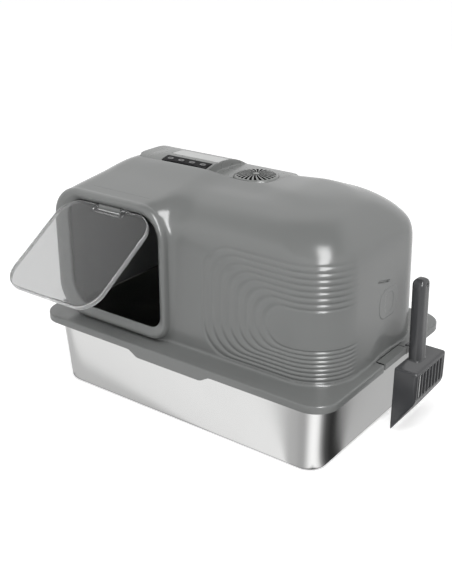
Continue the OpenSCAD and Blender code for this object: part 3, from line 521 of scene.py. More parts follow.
def hood_fields(x, y, z, cell):
    """The hood with its foot spread into the rim, the hood without that, and the space inside it."""
    x2, y2 = x[:, :, 0], y[:, :, 0]
    roof = soften(crown_height(x2, y2), (0, 1), 5)
    roof = roof - DECK_DROP * step(-80, 10, x2) * step(130, 60, x2) * step(-85, -25, y2) * step(165, 100, y2)
    slope = np.hypot(*np.gradient(roof, cell))
    side = body_distance(x, y, z)
    over = (z - roof[:, :, None]) / np.sqrt(1 + slope ** 2)[:, :, None]
    w = step(335, 365, roof)[:, :, None]
    body = over * w + side * (1 - w)
    t = np.array(TUNNEL)
    x0, x1, z1 = (smooth_curve(t[:, 0], t[:, i], y) for i in (1, 2, 3))
    tunnel = rect(x, z, x0 + 0.4, x1 - 0.4, 139.4, z1 - 0.4, 34, 55, 52)
    tunnel = smax(tunnel, y - TUNNEL[-1][0], 20)
    k = 5 + (7 + 30 * step(300, 372, z)) * apart(body, tunnel, cell)
    f = soften(smin(body, tunnel, k), (0, 1, 2), 2)
    # Over each clip a finger hollow 4 mm deep; beside it the foot hardly spreads, to clear the clip's swing.
    dip = step(62, 8, np.hypot(y - CLIP_Y, z - 138)) * step(255, 270, np.abs(x))
    pocket = np.maximum(rect(x, y, -231, 63, -19, 109, 29), POCKET_FLOOR - WALL - z)
    core = np.maximum(f + WALL + 4 * dip, -pocket)
    outer = f + 4 * dip
    beside = step(72, 50, np.abs(y - CLIP_Y)) * step(255, 268, np.abs(x))
    outer = outer + 1.0 * beside * step(156, 149, z) * (x < 0)
    foot = smin(outer, z - RIM_TOP, 4 - 3.7 * beside)
    return foot, outer, core


def pocket_distance(x, y):
    return rect(x, y, *POCKET)


def cut_pocket(points, faces, roof):
    """Drop the faces over the pocket and bring the points left there onto the roof's edge."""
    inside = (pocket_distance(points[:, 0], points[:, 1]) < POCKET_EDGE) & (points[:, 2] > 340)
    faces = faces[~inside[faces].all(1)]
    move = np.zeros(len(points), bool)
    move[np.unique(faces)] = True
    move &= inside
    for _ in range(3):
        a, b = points[move, 0], points[move, 1]
        d = pocket_distance(a, b) - POCKET_EDGE
        ga = (pocket_distance(a + 0.1, b) - pocket_distance(a - 0.1, b)) / 0.2
        gb = (pocket_distance(a, b + 0.1) - pocket_distance(a, b - 0.1)) / 0.2
        points[move, 0], points[move, 1] = a - d * ga, b - d * gb
    points[move, 2] = roof(points[move, 0], points[move, 1])
    return faces


def relief_faces(points, faces, normals):
    """Which quads lie where the ripples or the marks of the ends are."""
    x, y, z = (points[faces][:, :, i] for i in range(3))
    x0, y0, z0 = x[:, 0], y[:, 0], z[:, 0]
    front = (x > 8).all(1) & (y < -2).all(1) & (z < 342).all(1) & (z > 139).all(1)
    front &= (normals[faces][:, :, 2] > -0.3).all(1) & (y0 < -60)
    front &= (rect(x0, z0, 24, 460, 130, 345, 60) < 0) & (rect(x0, z0, 182, 420, 208, 250, 20) > -2)
    ends = (np.abs(x) > 262).all(1) & (rect(y0, z0, -24, 56, 198, 280, 10) < 0)
    return front | ends


def split_faces(points, faces, normals, pick, n):
    """Each picked quad is cut into n by n, with shared points made once."""
    share = np.linspace(0, 1, n + 1)
    u, v = (a.ravel() for a in np.meshgrid(share, share, indexing="ij"))
    w = np.stack([(1 - u) * (1 - v), u * (1 - v), u * v, (1 - u) * v], 1)
    fresh = np.einsum("kc,fci->fki", w, points[faces[pick]]).reshape(-1, 3)
    lean = np.einsum("kc,fci->fki", w, normals[faces[pick]]).reshape(-1, 3)
    key = np.round(fresh * 200).astype(np.int64)
    _, first, back = np.unique(key, axis=0, return_index=True, return_inverse=True)
    cell = np.array([(i * (n + 1) + j, (i + 1) * (n + 1) + j, (i + 1) * (n + 1) + j + 1, i * (n + 1) + j + 1)
                     for i in range(n) for j in range(n)])
    start = np.arange(pick.sum())[:, None, None] * (n + 1) ** 2
    quads = back.ravel()[(start + cell[None]).reshape(-1, 4)] + len(points)
    return (np.concatenate([points, fresh[first]]), np.concatenate([faces[~pick], quads]),
            np.concatenate([normals, lean[first]]), len(points))


def press_relief(points, normals, start):
    """Push the grooves into the points from start on, and lean their normals with them."""
    p = points[start:]
    normal = normals[start:] / np.linalg.norm(normals[start:], axis=1)[:, None]
    slope = np.zeros_like(p)
    e = 0.4
    for i in range(3):
        a, b = p.copy(), p.copy()
        a[:, i] += e
        b[:, i] -= e
        slope[:, i] = (relief(*a.T) - relief(*b.T)) / (2 * e)
    slope -= (slope * normal).sum(1)[:, None] * normal
    points[start:] = p - relief(*p.T)[:, None] * normal
    lean = normal + slope
    normals[start:] = lean / np.linalg.norm(lean, axis=1)[:, None]


def roof_over(outer, z, lo, cell):
    """A function that gives the height of the hood's surface over any point of the plan."""
    inside = outer < 0
    top = outer.shape[2] - 1 - np.argmax(inside[:, :, ::-1], axis=2)
    top = np.clip(top, 0, outer.shape[2] - 2)
    here = np.take_along_axis(outer, top[:, :, None], 2)[:, :, 0]
    there = np.take_along_axis(outer, top[:, :, None] + 1, 2)[:, :, 0]
    height = z.ravel()[top] + cell[2] * here / np.minimum(here - there, -1e-6)

    def at(x, y):
        i, j = (np.asarray(x) - lo[0]) / cell[0], (np.asarray(y) - lo[1]) / cell[1]
        a, b = np.floor(i).astype(int), np.floor(j).astype(int)
        s, t = i - a, j - b
        return ((1 - s) * (1 - t) * height[a, b] + s * (1 - t) * height[a + 1, b]
                + (1 - s) * t * height[a, b + 1] + s * t * height[a + 1, b + 1])

    return at


def build_hood():
    size = by_speed(2.5)
    x, y, z, lo, cell = grid((-291, -171.5, 135.2), (291, 168, 400), size)
    foot, outer, core = hood_fields(x, y, z, size)
    points, faces, normals = nets(foot, lo, cell)
    flat = (points[:, 2] < RIM_TOP + 0.05) & (normals[:, 2] > 0.995)
    faces = faces[~flat[faces].all(1)]
    roof = roof_over(outer, z, lo, cell)
    faces = cut_pocket(points, faces, roof)
    near = relief_faces(points, faces, normals)
    points, faces, normals, start = split_faces(points, faces, normals, near, by_speed(3))
    press_relief(points, normals, start)
    inner = nets(-core[::2, ::2, ::2], lo, cell * 2)
    faces = np.concatenate([faces, inner[1] + len(points)])
    points, normals = np.concatenate([points, inner[0]]), np.concatenate([normals, inner[2]])
    keep = np.unique(faces)
    back = np.zeros(len(points), int)
    back[keep] = np.arange(len(keep))
    piece("hood_body", points[keep], back[faces], "hood", ["hood_shell"], "hood_plastic", normals=normals[keep])
    build_pocket(roof)


def build_pocket(roof):
    """The walls and floor of the hollow that holds the odour unit, down from the roof's edge."""
    x0, x1, y0, y1, r = POCKET
    edge, bend, wall = (np.array(outline(x0 - g, x1 + g, y0 - g, y1 + g, r + g, r + g, steps=18))
                        for g in (POCKET_EDGE, 0.2, 0.0))
    ways = np.arctan2(wall[:, 1] - VENT_Y, wall[:, 0] - VENT_X)
    hole_r = 40.2
    hole = np.column_stack([VENT_X + hole_r * np.cos(ways), VENT_Y + hole_r * np.sin(ways)])
    rings = [level(edge, roof(*edge.T) + 0.02), level(bend, roof(*bend.T) - 0.25),
             level(wall, roof(*wall.T) - 0.9), level(wall, POCKET_FLOOR),
             level(hole, POCKET_FLOOR), level(hole, POCKET_FLOOR - WALL)]
    points, faces = sweep(rings, flip=True)
    piece("hood_pocket", points, faces, "hood", [], "hood_plastic", sharp=50)


# ---- Rim ----

def rim_points(x0, x1, y0, y1, r):
    """Points round a rounded rectangle, with extra ones at the clips, the scoop's slot and the front tab."""
    steps = 16
    fronts = [-96, -90, -84, -76, -70, -64.5, -58, 0, 58, 64.5, 70, 76, 84, 90, 96]
    ends = [-22.6, CLIP_Y, 57.8, 59.7, 72.3]
    return (quarter(x1 - r, y0 + r, r, -90, steps) + [(x1, v) for v in ends]
            + quarter(x1 - r, y1 - r, r, 0, steps) + [(v, y1) for v in (150, 0, -150)]
            + quarter(x0 + r, y1 - r, r, 90, steps) + [(x0, v) for v in ends[::-1]]
            + quarter(x0 + r, y0 + r, r, 180, steps) + [(v, y0) for v in fronts])


def rim_outline(inset):
    """Points round the rim, moved in from its edge."""
    hx, hy = RIM_HALF_X - inset, RIM_HALF_Y - inset
    return rim_points(-hx, hx, -hy, hy, max(RIM_CORNER - inset, 1.0))


def build_rim():
    ref = rim_outline(0)
    n = len(ref)
    skirt_end, tab_depth, edge_r = 123.5, 10.5, 2.6
    tab = [tab_depth * float(step(87.5, 64.5, abs(x))) if y < 0.1 - RIM_HALF_Y else 0 for x, y in ref]
    low_edge = skirt_end - np.array(tab)
    foot = rim_points(-278.5, 278.5, -159.5, 155.5, 75.5)
    rings = [level(foot, RIM_TOP), level(rim_outline(17.7), RIM_TOP)]
    for a in range(0, 91, 15):
        s, c = turned(a)
        rings.append(level(rim_outline(edge_r * (1 - s)), RIM_TOP - edge_r * (1 - c)))
    # Down the skirt's outside, round its lower edge and up its inside.
    for inset, z in ((0, 130), (0, low_edge + 0.9), (0.3, low_edge + 0.25), (0.9, low_edge), (1.7, low_edge),
                     (2.3, low_edge + 0.3), (2.5, low_edge + 0.9), (2.5, 132.5), (3.0, 133.6),
                     (4.0, RIM_UNDER), (17.7, RIM_UNDER)):
        rings.append(level(rim_outline(inset), z))
    rings.append(level(foot, RIM_UNDER))

    def by_clip(p):
        return abs(p[0]) > RIM_HALF_X - 1 and -22.7 <= p[1] <= 57.9

    # The clips take the rim's place from its edge inwards; the cut is closed at its ends and at its back.
    gap = {i for i in range(n) if by_clip(ref[i]) and by_clip(ref[(i + 1) % n])}
    m = len(rings)
    points, quads = sweep(rings, close=True)
    faces = [q for k, q in enumerate(quads) if k // n in (0, m - 2, m - 1) or k % n not in gap]
    for i in range(n):
        end = tuple(j * n + i for j in range(1, m - 1))
        if i in gap and (i - 1) % n not in gap:
            faces.append(end)
        if i not in gap and (i - 1) % n in gap:
            faces.append(end[::-1])
    for i in gap:
        faces.append((n + i, n + (i + 1) % n, (m - 2) * n + (i + 1) % n, (m - 2) * n + i))
    piece("hood_rim", points, faces, "hood", [], "hood_plastic", sharp=35)
    # black sheets of painted shade in the slits beside the clips
    build_gap_painted_shade()
    rib = [level(rim_outline(i), z) for i, z in ((6, 130.5), (6, 134.2), (8.5, 134.2), (8.5, 130.5))]
    points, quads = sweep(rib, close=True)
    faces = [q for k, q in enumerate(quads) if k % n not in gap]
    piece("hood_seat_rib", points, faces, "hood", [], "hood_plastic", sharp=35)


def build_gap_painted_shade():
    """Thin black sheets in the slits beside the clips: painted shade, so that the slits look dark."""
    box = [(0, 1, 3, 2), (4, 6, 7, 5), (0, 4, 5, 1), (2, 3, 7, 6), (0, 2, 6, 4), (1, 5, 7, 3)]
    points, faces = [], []
    for side in (-1, 1):
        for ys in ((-19.0, -18.6), (57.4, 57.7)):
            first = len(points)
            points += [(side * x, y, z) for x in (281.5, 297.0) for y in ys for z in (131.2, 136.6)]
            faces += [tuple(first + k for k in (q if side > 0 else q[::-1])) for q in box]
    piece("clip_gap_painted_shade", points, faces, "hood", [], "dark_plastic", "painted_shade_black", sharp=35)


# ---- Entry frame ----

def build_entry_frame():
    # Left, right, lower and upper edge, then the radii of the lower right, upper and lower left corners.
    opening = (-240.5, -38.5, 161, 358, 24, 40, 42)
    inner_step = (-253, -29.5, 149, 364.5, 30, 47, 52)
    shoulder = (-264, -27.6, 145.5, 368.5, 31, 51, 51)
    outer = (-272.5, -23.6, 139, 373.5, 34, 55, 52)
    front = -180

    def between(a, b, t):
        return tuple(u + (v - u) * t for u, v in zip(a, b))

    def grown(a, g):
        return (a[0] - g, a[1] + g, a[2] - g, a[3] + g, *(max(2, r + g) for r in a[4:]))

    shapes = [(grown(opening, 17), -149), (grown(opening, 10), -160), (grown(opening, 3), -168.5),
              (grown(opening, 0.4), -172.6), (opening, -174.6), (grown(opening, 0.25), -175.4),
              (grown(opening, 1.0), -176.0), (between(opening, inner_step, 0.5), -178.1),
              (between(opening, inner_step, 0.93), -179.75), (inner_step, front)]
    # The rounded outer edge starts 8 degrees into its turn: sine 0.139, cosine 0.99.
    for a in range(8, 91, 8):
        s, c = turned(a)
        shapes.append((between(shoulder, outer, (s - 0.139) / 0.861), front + 11.4 * (0.99 - c)))
    shapes += [(outer, -166.5), (grown(outer, -1.5), -166), (grown(opening, 5), -166),
               (grown(opening, 18.5), -149)]
    rings = [[(u, y, v) for u, v in outline(*shape, steps=16)] for shape, y in shapes]
    points, faces = sweep(rings, close=True, flip=True)
    piece("entry_ring", points, faces, "hood", ["entry_frame"], "hood_plastic", sharp=50)


# ---- Door flap ----

def build_flap():
    """The flap in its own plane, x across, w through and s along it from the hinge, then put in place."""
    half_width, length, bar_half, hole_r = 99, 190.5, 32, 1.55

    def field(x, w, s):
        hinge = np.hypot(w, s)
        plan = rect(x, s, -half_width, half_width, -length, 0, 38, 39)
        f = smax(plan + 1.7, np.abs(w + 1.9) - 1.1, 0.6)
        f = smin(f, block(x, w, s, (-bar_half, -3, -13), (bar_half, 3, 0.5), 1.2), 1.5)
        f = smin(f, smax(hinge - 3.6, np.abs(x) - bar_half, 0.5), 0.5)
        f = smax(f, -smax(hinge - 8.5, np.abs(x) - 24.3, 0.5), 0.6)
        return smax(f, -(hinge - hole_r), 0.3)

    place = Matrix.Translation((-139.5, -173, 353.5)) @ Matrix.Rotation(math.radians(-57), 4, "X")
    cell = by_speed((1.25, 0.6, 1.25))
    field_piece("clear_door", field, (-100.5, -4.4, -192.5), (100.5, 5.2, 4.6), cell, "flap", ["door_flap"],
                "clear_plastic", place)
    # Section of the thick edge: how far in from the outline, and w.
    section = [(0.6, -3), (0.15, -2.85), (0, -2.4), (0, 4.4), (0.15, 4.85), (0.6, 5), (1.0, 5), (1.45, 4.85),
               (1.6, 4.4), (1.6, -2.4), (1.5, -2.85), (1.1, -3)]
    rings = []
    for i, w in section:
        plan = outline(i - half_width, half_width - i, i - length, -i, 38 - i, 39 - i, steps=24)
        rings.append([(u, w, v) for u, v in plan])
    points, faces = sweep(rings, close=True, flip=True)
    piece("clear_door_edge", moved(points, place), faces, "flap", [], "clear_plastic", "edge_plastic", sharp=60)


# ---- Steel pan ----

PAN_HALF_X, PAN_HALF_Y, PAN_CORNER = 281.5, 187.5, 36
PAN_LEAD = 32.0     # how far before each corner the sheet starts to turn


def pan_outline(hx, hy, r):
    """Points round the pan, and how far the sheet has turned at each beyond the plain outline."""
    arc = r * math.pi / 2
    total = 2 * PAN_LEAD + arc
    stations = ([PAN_LEAD * i / 5 for i in range(5)] + [PAN_LEAD + arc * i / 20 for i in range(21)]
                + [total - PAN_LEAD * i / 5 for i in range(4, -1, -1)])
    corners = ((hx - r, r - hy, -90), (hx - r, hy - r, 0), (r - hx, hy - r, 90), (r - hx, r - hy, 180))
    points, extra = [], []
    for cx, cy, start in corners:
        for u in stations:
            bend = min(max(u - PAN_LEAD, 0), arc)
            side = min(u - PAN_LEAD, 0) + max(u - PAN_LEAD - arc, 0)
            a = math.radians(start) + bend / r
            points.append((cx + r * math.cos(a) - side * math.sin(a), cy + r * math.sin(a) + side * math.cos(a)))
            t = u / total
            t = (2 * t) ** 2.2 / 2 if t < 0.5 else 1 - (2 - 2 * t) ** 2.2 / 2
            extra.append(t * math.pi / 2 - bend / r)
    return points, extra


def pan_normals(rings):
    """Smooth normals of the pan's skin, turned ahead of each corner as rolled sheet bends."""
    along = np.roll(rings, -1, 1) - np.roll(rings, 1, 1)
    across = np.gradient(rings, axis=0)
    n = np.cross(along, across)
    n /= np.maximum(np.linalg.norm(n, axis=2), 1e-9)[:, :, None]
    extra = np.array(pan_outline(PAN_HALF_X, PAN_HALF_Y, PAN_CORNER)[1])
    flat = np.hypot(n[:, :, 0], n[:, :, 1])
    a = np.arctan2(n[:, :, 1], n[:, :, 0]) + extra * np.minimum(1, flat * 1.5)
    n[:, :, 0], n[:, :, 1] = flat * np.cos(a), flat * np.sin(a)
    return n.reshape(-1, 3)


def build_pan():
    rings = []

    def ring(inset, z, r):
        rings.append(level(pan_outline(PAN_HALF_X - inset, PAN_HALF_Y - inset, r)[0], z))

    # Outside: the foot's bend, the wall, the bend into the lip and the lip's folded edge.
    for a in range(0, 91, 10):
        s, c = turned(a)
        inset = 8.5 + 9 * (1 - s)
        ring(inset, 9 * (1 - c), PAN_CORNER - inset / 2)
    for k in range(1, 12):
        t = k / 12
        ring(8.5 * (1 - t), 9 + 117 * t, PAN_CORNER - 4.25 * (1 - t))
    for a in range(0, 91, 15):
        s, c = turned(a)
        ring(-2.2 * (1 - c), 127.2 - 2 + 2.0 * s, PAN_CORNER + 2.2 * (1 - c))
    ring(-10, 127.3, 46)
    for a in range(0, 181, 20):
        s, c = turned(a)
        ring(-12.8 - 1.2 * s, 129.2 - 1.3 * c, 48.8 + 1.2 * s)
    # Inside: back from the lip, down the wall and onto the floor.
    ring(-4, 130.5, 40)
    for a in range(0, 91, 15):
        s, c = turned(a)
        ring(0.8 - 2.4 * (1 - s), 130.5 - 2.4 * (1 - c), 35.2 + 2.4 * (1 - s))
    for k in range(1, 12):
        t = 1 - k / 12
        ring(0.8 + 8.5 * (1 - t), 10 + 116 * t, 35.2 - 4.25 * (1 - t))
    for a in range(90, -1, -10):
        s, c = turned(a)
        inset = 9.3 + 8.2 * (1 - s)
        ring(inset, 0.8 + 8.2 * (1 - c), PAN_CORNER - inset / 2)
    points, faces = sweep(rings, cap_first=True, cap_last=True)
    piece("steel_tray", points, faces, "pan", ["steel_pan"], "pan_steel", normals=pan_normals(np.array(rings)))


# ---- Odour unit ----

ARCH_Y, ARCH_Z, ARCH_R = 29, 262, 140


def unit_top(x, y, z, t):
    """The cover's upper surface, lowered by t: the arched part and the deck round the vent."""
    arch = np.maximum(np.hypot(y - ARCH_Y, z - ARCH_Z) - ARCH_R + t, x + 62.5 + t)
    arch = smax(arch, z - 402.8 + 3.8 * np.clip((-166 - x) / 36, 0, 1) ** 1.4 + t, 3)
    fall = 5.0 * np.clip((x - 45) / 14.5, 0, 1) ** 2
    bow = np.where(y < 33, np.hypot(y - 33, z - 116.6) - 270, np.hypot(y - 33, z + 33.4) - 420)
    return smin(arch, fall + bow + t, 1.5)


def build_unit():
    def field(x, y, z):
        to_vent = np.hypot(x - VENT_X, y - VENT_Y)
        plan = rect(x, y, -227.5, 59.5, -15.5, 105.5, 26)
        out = smax(smax(plan, unit_top(x, y, z, 0), 3.5), 372.6 - z, 0.8)
        core = np.maximum(np.maximum(plan + 2.4, unit_top(x, y, z, 3.4)), 360 - z)
        core = np.maximum(core, -np.maximum(to_vent - 41.4, 381.2 - z))
        f = smax(out, -core, 0.8)
        # The vent's seat and bore, then the openings for the panel, the plate and the charging socket.
        f = smax(f, -np.maximum(to_vent - 39, VENT_SEAT - z), 0.8)
        f = smax(f, -(to_vent - 37), 0.6)
        u, v = tilted(y, z, -2, 398.527, math.asin(31 / ARCH_R))
        f = smax(f, -np.maximum(rect(x, u, -167.15, -66.85, -10.15, 10.15, 1.6), np.abs(v) - 7), 0.6)
        plate_seat = ARCH_Z - 0.8 + np.sqrt(ARCH_R ** 2 - (y - ARCH_Y) ** 2) - z
        f = smax(f, -np.maximum(rect(x, y, -165.15, -60.85, 17.85, 48.15, 2.4), plate_seat), 0.4)
        return smax(f, -block(x, y, z, (-232, 24.5, 394.3), (-224, 33.5, 397.7), 0.5), 0.3)

    cell = by_speed((1.5, 1.5, 0.8))
    field_piece("unit_case", field, (-230, -18, 371), (62, 108, 404.5), cell, "hood", ["unit_cover"],
                "unit_plastic")


# ---- Vent ----

VENT_R, VENT_RISE, VENT_SLOTS = 38.7, 7.9, 24
DOME_REACH = np.array([0, 0.3, 0.5, 0.66, 0.8, 0.9, 0.96, 1])
DOME_HEIGHT = np.array([1, 0.99, 0.95, 0.89, 0.8, 0.68, 0.5, 0.26])


def build_vent():
    def field(x, y, z):
        r, a = np.hypot(x, y), np.arctan2(y, x)
        top = smooth_curve(DOME_REACH * VENT_R, DOME_HEIGHT * VENT_RISE, r)
        low = np.where(r < 34.6, top - 1.0, 0)
        f = smax(smax(z - top, low - z, 0.4), r - VENT_R, 0.8)
        turn = a - 0.2 * (r / VENT_R) ** 1.2
        gap = (np.mod(turn * VENT_SLOTS / (2 * math.pi), 1) - 0.5) * 2 * math.pi / VENT_SLOTS * r
        slot = smax(np.abs(gap) - 0.068 * r - 0.05, np.maximum(r - 34, 5.0 - r), 0.8)
        return smax(f, -slot, 0.25)

    # A black sheet just under the dome, painted shade so that the slots look dark.
    under = 0.2
    reach = np.array([0.5, 6, 12, 18, 24, 29, 33, 35.2])
    radii = np.array([0, 11.6, 19.3, 25.5, 31, 34.8, 37.2, VENT_R])
    rise = smooth_curve(radii, VENT_RISE * DOME_HEIGHT, reach)
    ways = np.linspace(0, 2 * math.pi, 49)[:-1]
    dome = [[(VENT_X + r * math.cos(a), VENT_Y + r * math.sin(a), VENT_SEAT + h - under) for a in ways]
            for r, h in zip(reach, rise)]
    points, faces = sweep(dome, cap_first=True, flip=True)
    piece("vent_painted_shade", points, faces, "hood", [], "dark_plastic", "painted_shade_black", sharp=60)
    place = Matrix.Translation((VENT_X, VENT_Y, VENT_SEAT))
    field_piece("vent_cap", field, (-39.6, -39.6, -0.9), (39.6, 39.6, 9), by_speed(0.5), "hood",
                ["vent_grille"], "vent_plastic", place)


# ---- Scoop ----

SCOOP_Y, SCOOP_HALF, SLOT_PITCH = 60, 55, 12.33
SCOOP_BACK, SCOOP_FRONT, SCOOP_TOP = 304.5, 345, 122
HEEL, TOE = (SCOOP_BACK, 4), (SCOOP_FRONT, 67)      # ends of the sloping floor, x and z
FLOOR_WAY = (0.5408, 0.8412)                        # its direction


def build_scoop():
    def profile(x, z, t, k):
        """The basket's side view, drawn in by t, with its corners rounded by k."""
        f = smax(z - SCOOP_TOP + t, x - SCOOP_FRONT + t, k)
        return smax(f, -half_plane(x, z, HEEL, TOE) + t, k)

    def field(x, y, z):
        aside = np.abs(y - SCOOP_Y)
        side = aside - SCOOP_HALF
        out = smax(smax(profile(x, z, 0, 5), side, 4), SCOOP_BACK - x, 1.0)
        core = np.maximum(np.maximum(profile(x, z, 2.6, 3), side + 2.6), 302 - x)
        f = smax(out, -core, 1.0)
        gap = (np.mod((y - SCOOP_Y) / SLOT_PITCH + 0.5, 1) - 0.5) * SLOT_PITCH
        slot = np.hypot(np.maximum(np.abs(gap) - 2.0, 0), np.maximum(aside - 46.5, 0)) - 0.8
        face = np.maximum(slot, np.maximum(z - 114, 72.5 - z))
        face = np.maximum(face, 338 - x)
        along = (x - HEEL[0]) * FLOOR_WAY[0] + (z - HEEL[1]) * FLOOR_WAY[1]
        under = half_plane(x, z, HEEL, TOE) - 8
        floor = np.maximum(slot, np.maximum(under, np.maximum(8 - along, along - 70.5)))
        f = smax(f, -face, 1.0)
        f = smax(f, -floor, 1.0)
        lean = x + 0.031 * (z - SCOOP_TOP)
        handle = block(lean, y, z, (306.5, 43, 100), (330, 74.5, 266), 11)
        handle = smax(handle, rect(y, z, 43, 74.5, -100, 266, 15.6), 2)
        handle = smax(handle, rect(lean, z, 306.5, 330, -100, 266, 11.6), 2)
        f = smin(f, np.maximum(handle, 120.5 - z), 1.5)
        f = smax(f, -np.hypot(y - 59, z - 255) + 3, 1.2)
        hook = np.minimum(block(x, y, z, (294.3, 60, 137.3), (311, 72, 139.8), 0.6),
                          block(x, y, z, (294.3, 60, 131.6), (296.8, 72, 139.8), 0.6))
        return smin(f, hook, 0.8)

    scoop = field_piece("litter_scoop_moulding", field, (293, 3.5, 2), (347, 116.5, 268), by_speed(1.25),
                        "litter_scoop", ["scoop"], "scoop_plastic")
    scoop.visible_glossy = False


# ---- Nodes shown as they are ----

# Slot, width of the softened edges, nodes.
PLAIN = [
    ("hood_plastic", 0.8, ["right_clip", "left_clip"]),
    ("pin_steel", 0.2, ["right_clip_pin", "left_clip_pin", "flap_hinge_pin", "flap_block_screws", "unit_screws"]),
    ("block_plastic", 0.8, ["flap_hinge_block"]),
    ("dark_plastic", 0.5, ["unit_base"]),
    ("dark_plastic", 0.3, ["fan_frame", "fan_impeller", "filter_cap"]),
    ("motor_metal", 0.5, ["fan_motor"]),
    ("carbon", 0.5, ["carbon_filter"]),
    ("panel_black", 0.3, ["control_panel"]),
    ("button_plastic", 0.3, ["button_power", "button_timer", "button_speed", "button_lamp"]),
    ("board", 0.2, ["circuit_board"]),
    ("cell_sleeve", 0.8, ["battery_cells"]),
    ("socket_metal", 0.2, ["charge_socket"]),
    ("plate_plastic", 0.15, ["pale_plate"]),
]


def dress(o, slot, bevel):
    """Give a node its material and soften its edges."""
    o.data.materials.clear()
    o.data.materials.append(MATS[slot])
    weld = o.modifiers.new("weld", "WELD")
    weld.merge_threshold = 0.01 * MM
    b = o.modifiers.new("bevel", "BEVEL")
    b.width = bevel * MM
    b.segments = 2
    b.limit_method = "ANGLE"
    b.angle_limit = math.radians(40)
    b.use_clamp_overlap = True


def build_plain():
    for slot, bevel, names in PLAIN:
        for name in names:
            dress(NODES[name], slot, bevel)


# ---- Camera and studio, in metres ----

CAMERA_AT, CAMERA_AIM, LENS = (0.8789, -1.2247, 0.8339), (-0.03265, 0, 0.17093), 57.0
FLOOR_HALF, FLOOR_SHADE = 14.0, 0.88
# Painted reflections, light and dark cards that only metal sees on the floor: bearing in degrees round the pan's
# front right corner, and brightness.
PAINTED_REFLECTIONS = [(-180, 0.6), (-172.5, 0.7), (-170, 1.04), (-156, 1.11), (-133, 1.14), (-129, 0.88), (-127, 0.74),
         (-121, 0.62), (-105, 0.58), (-98, 0.54), (-90, 0.5), (-80, 0.53), (-70, 0.8), (-59, 1.22), (-47, 1.38),
         (-34, 1.36), (-21, 1.1), (-9, 0.5), (2, 0.22), (13, 0.09), (37, 0.03), (48, 0.04), (55, 0.08),
         (58.5, 0.16), (65, 0.6), (90, 0.62), (110, 1), (180, 1)]
REFLECTION_CENTRE, REFLECTION_PEAK = (0.2435, -0.149), 1.4
PAN_SHADOW = (0.273, 0.179)     # half sizes of the dark area under the pan


def make_camera():
    """The camera, set where the photograph was taken from."""
    data = bpy.data.cameras.new("camera")
    data.lens = LENS
    data.sensor_width = 36.0
    data.sensor_fit = "AUTO"
    data.clip_start, data.clip_end = 0.05, 20
    cam = new_object("camera", data)
    cam.location = CAMERA_AT
    aim = Vector(CAMERA_AIM) - cam.location
    cam.rotation_mode = "QUATERNION"
    cam.rotation_quaternion = aim.to_track_quat("-Z", "Y")
    bpy.context.scene.camera = cam


def area_light(name, where, turn, width, height, power):
    data = bpy.data.lights.new(name, "AREA")
    data.shape = "RECTANGLE"
    data.size, data.size_y = width, height
    data.energy = power
    o = new_object(name, data)
    o.location = where
    o.rotation_mode = "QUATERNION"
    o.rotation_quaternion = turn
    return o


def sky(world):
    """White round the sides and dim straight above, as in a light tent with an open top."""
    world.use_nodes = True
    tree = world.node_tree
    place = node(tree, "TexCoord")
    split = node(tree, "SeparateXYZ")
    tree.links.new(place.outputs["Generated"], split.inputs[0])
    strength = remap(tree, split.outputs["Z"], 0.95, 0.1, 0.70, 0.88)
    strength.node.interpolation_type = "SMOOTHSTEP"
    back = tree.nodes["Background"]
    back.inputs["Color"].default_value = (1, 1, 1, 1)
    tree.links.new(strength, back.inputs["Strength"])


def grey(v):
    return (v, v, v, 1)


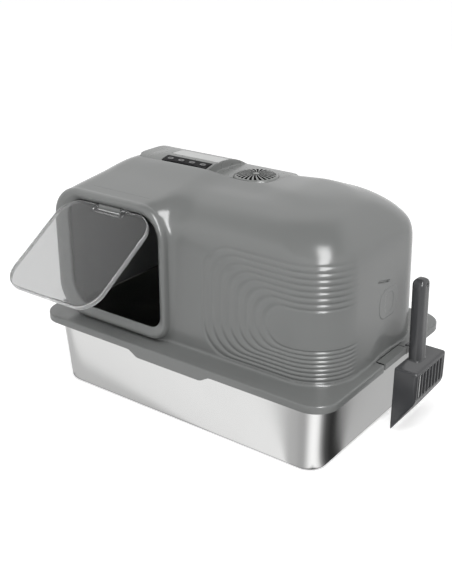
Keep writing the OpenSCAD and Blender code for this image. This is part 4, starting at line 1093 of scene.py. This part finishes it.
def white_floor():
    """Pale floor, white to the eye with the object's shadow kept; metal sees painted reflections on it, dark and
    light cards and a painted shadow round the pan.
    """
    mesh = bpy.data.meshes.new("floor")
    s = FLOOR_HALF
    mesh.from_pydata([(-s, -s, 0), (s, -s, 0), (s, s, 0), (-s, s, 0)], [], [(0, 1, 2, 3)])
    floor = new_object("floor", mesh)
    mat, tree, p = base_material((FLOOR_SHADE,) * 3, 0.9)
    mat.name = "floor_look"
    p.inputs["Specular IOR Level"].default_value = 0.0
    place = node(tree, "TexCoord")
    split = node(tree, "SeparateXYZ")
    tree.links.new(place.outputs["Object"], split.inputs[0])
    x, y = split.outputs["X"], split.outputs["Y"]

    def less(a, b):
        return maths(tree, "SUBTRACT", a, b)

    # The painted reflections by bearing, fading to an even white at about 0.6 m from the middle.
    bearing = maths(tree, "ARCTAN2", less(y, REFLECTION_CENTRE[1]), less(x, REFLECTION_CENTRE[0]))
    ramp = node(tree, "ValToRGB")
    stops = ramp.color_ramp.elements
    while len(stops) < len(PAINTED_REFLECTIONS):
        stops.new(0.5)
    for stop, (angle, brightness) in zip(stops, PAINTED_REFLECTIONS):
        stop.position = (angle + 180) / 360
        stop.color = grey(brightness / REFLECTION_PEAK)
    tree.links.new(maths(tree, "MULTIPLY_ADD", bearing, 0.5 / math.pi, 0.5), ramp.inputs["Fac"])
    away = node(tree, "VectorMath")
    away.operation = "LENGTH"
    tree.links.new(place.outputs["Object"], away.inputs[0])
    fade = remap(tree, away.outputs["Value"], 0, 1, 0.52, 0.66)
    painted_reflection = mixer(tree, ramp.outputs["Color"], grey(1 / REFLECTION_PEAK), fade)
    beside = maths(tree, "MAXIMUM", less(maths(tree, "ABSOLUTE", x), PAN_SHADOW[0]),
                   less(maths(tree, "ABSOLUTE", y), PAN_SHADOW[1]))
    # painted shadow: glossy rays see the floor dark right round the pan's foot
    painted_reflection = mixer(tree, grey(0.1), painted_reflection, remap(tree, beside, 0, 1, -0.008, 0.003))
    # Glossy rays see the painted reflections alone; others see the floor, with a little light of its own for the
    # eye.
    path = node(tree, "LightPath")
    through = path.outputs["Is Transmission Ray"]
    shiny = maths(tree, "MAXIMUM", less(path.outputs["Is Glossy Ray"], through), 0)
    power = maths(tree, "MULTIPLY", shiny, REFLECTION_PEAK)
    power = maths(tree, "MULTIPLY_ADD", through, 0.08, power)
    power = maths(tree, "MULTIPLY_ADD", path.outputs["Is Camera Ray"], 0.45, power)
    tree.links.new(mixer(tree, grey(FLOOR_SHADE), grey(0), shiny), p.inputs["Base Color"])
    tree.links.new(mixer(tree, grey(1), painted_reflection, shiny), p.inputs["Emission Color"])
    tree.links.new(power, p.inputs["Emission Strength"])
    mesh.materials.append(mat)


def build_studio():
    white_floor()
    world = bpy.data.worlds.new("studio")
    bpy.context.scene.world = world
    sky(world)
    where = Vector((0.5, -0.9, 2.0))
    turn = (Vector((0, 0, 0.2)) - where).to_track_quat("-Z", "Y")
    soft = area_light("soft_top", where, turn, 1.4, 1.4, 24)
    soft.visible_glossy = False
    # A long strip 2 m from the hood, placed for the streak along its crown.
    centre = Vector((0.05, -0.05, 0.3))
    along = Vector((-0.376, 0.622, 0.687)).normalized()
    toward = Vector((0.657, -0.345, 0.671)).normalized()
    turn = Matrix((along.cross(toward).normalized(), along, toward)).transposed().to_quaternion()
    width, length = 0.62, 3.3
    strip = area_light("strip", centre + 2.0 * toward, turn, width, length, 13 * math.pi * width * length)
    strip.visible_diffuse = False
    bpy.context.scene.view_settings.view_transform = "Standard"


make_camera()
build_hood()
build_rim()
build_entry_frame()
build_flap()
build_pan()
build_unit()
build_vent()
build_scoop()
build_plain()
build_studio()
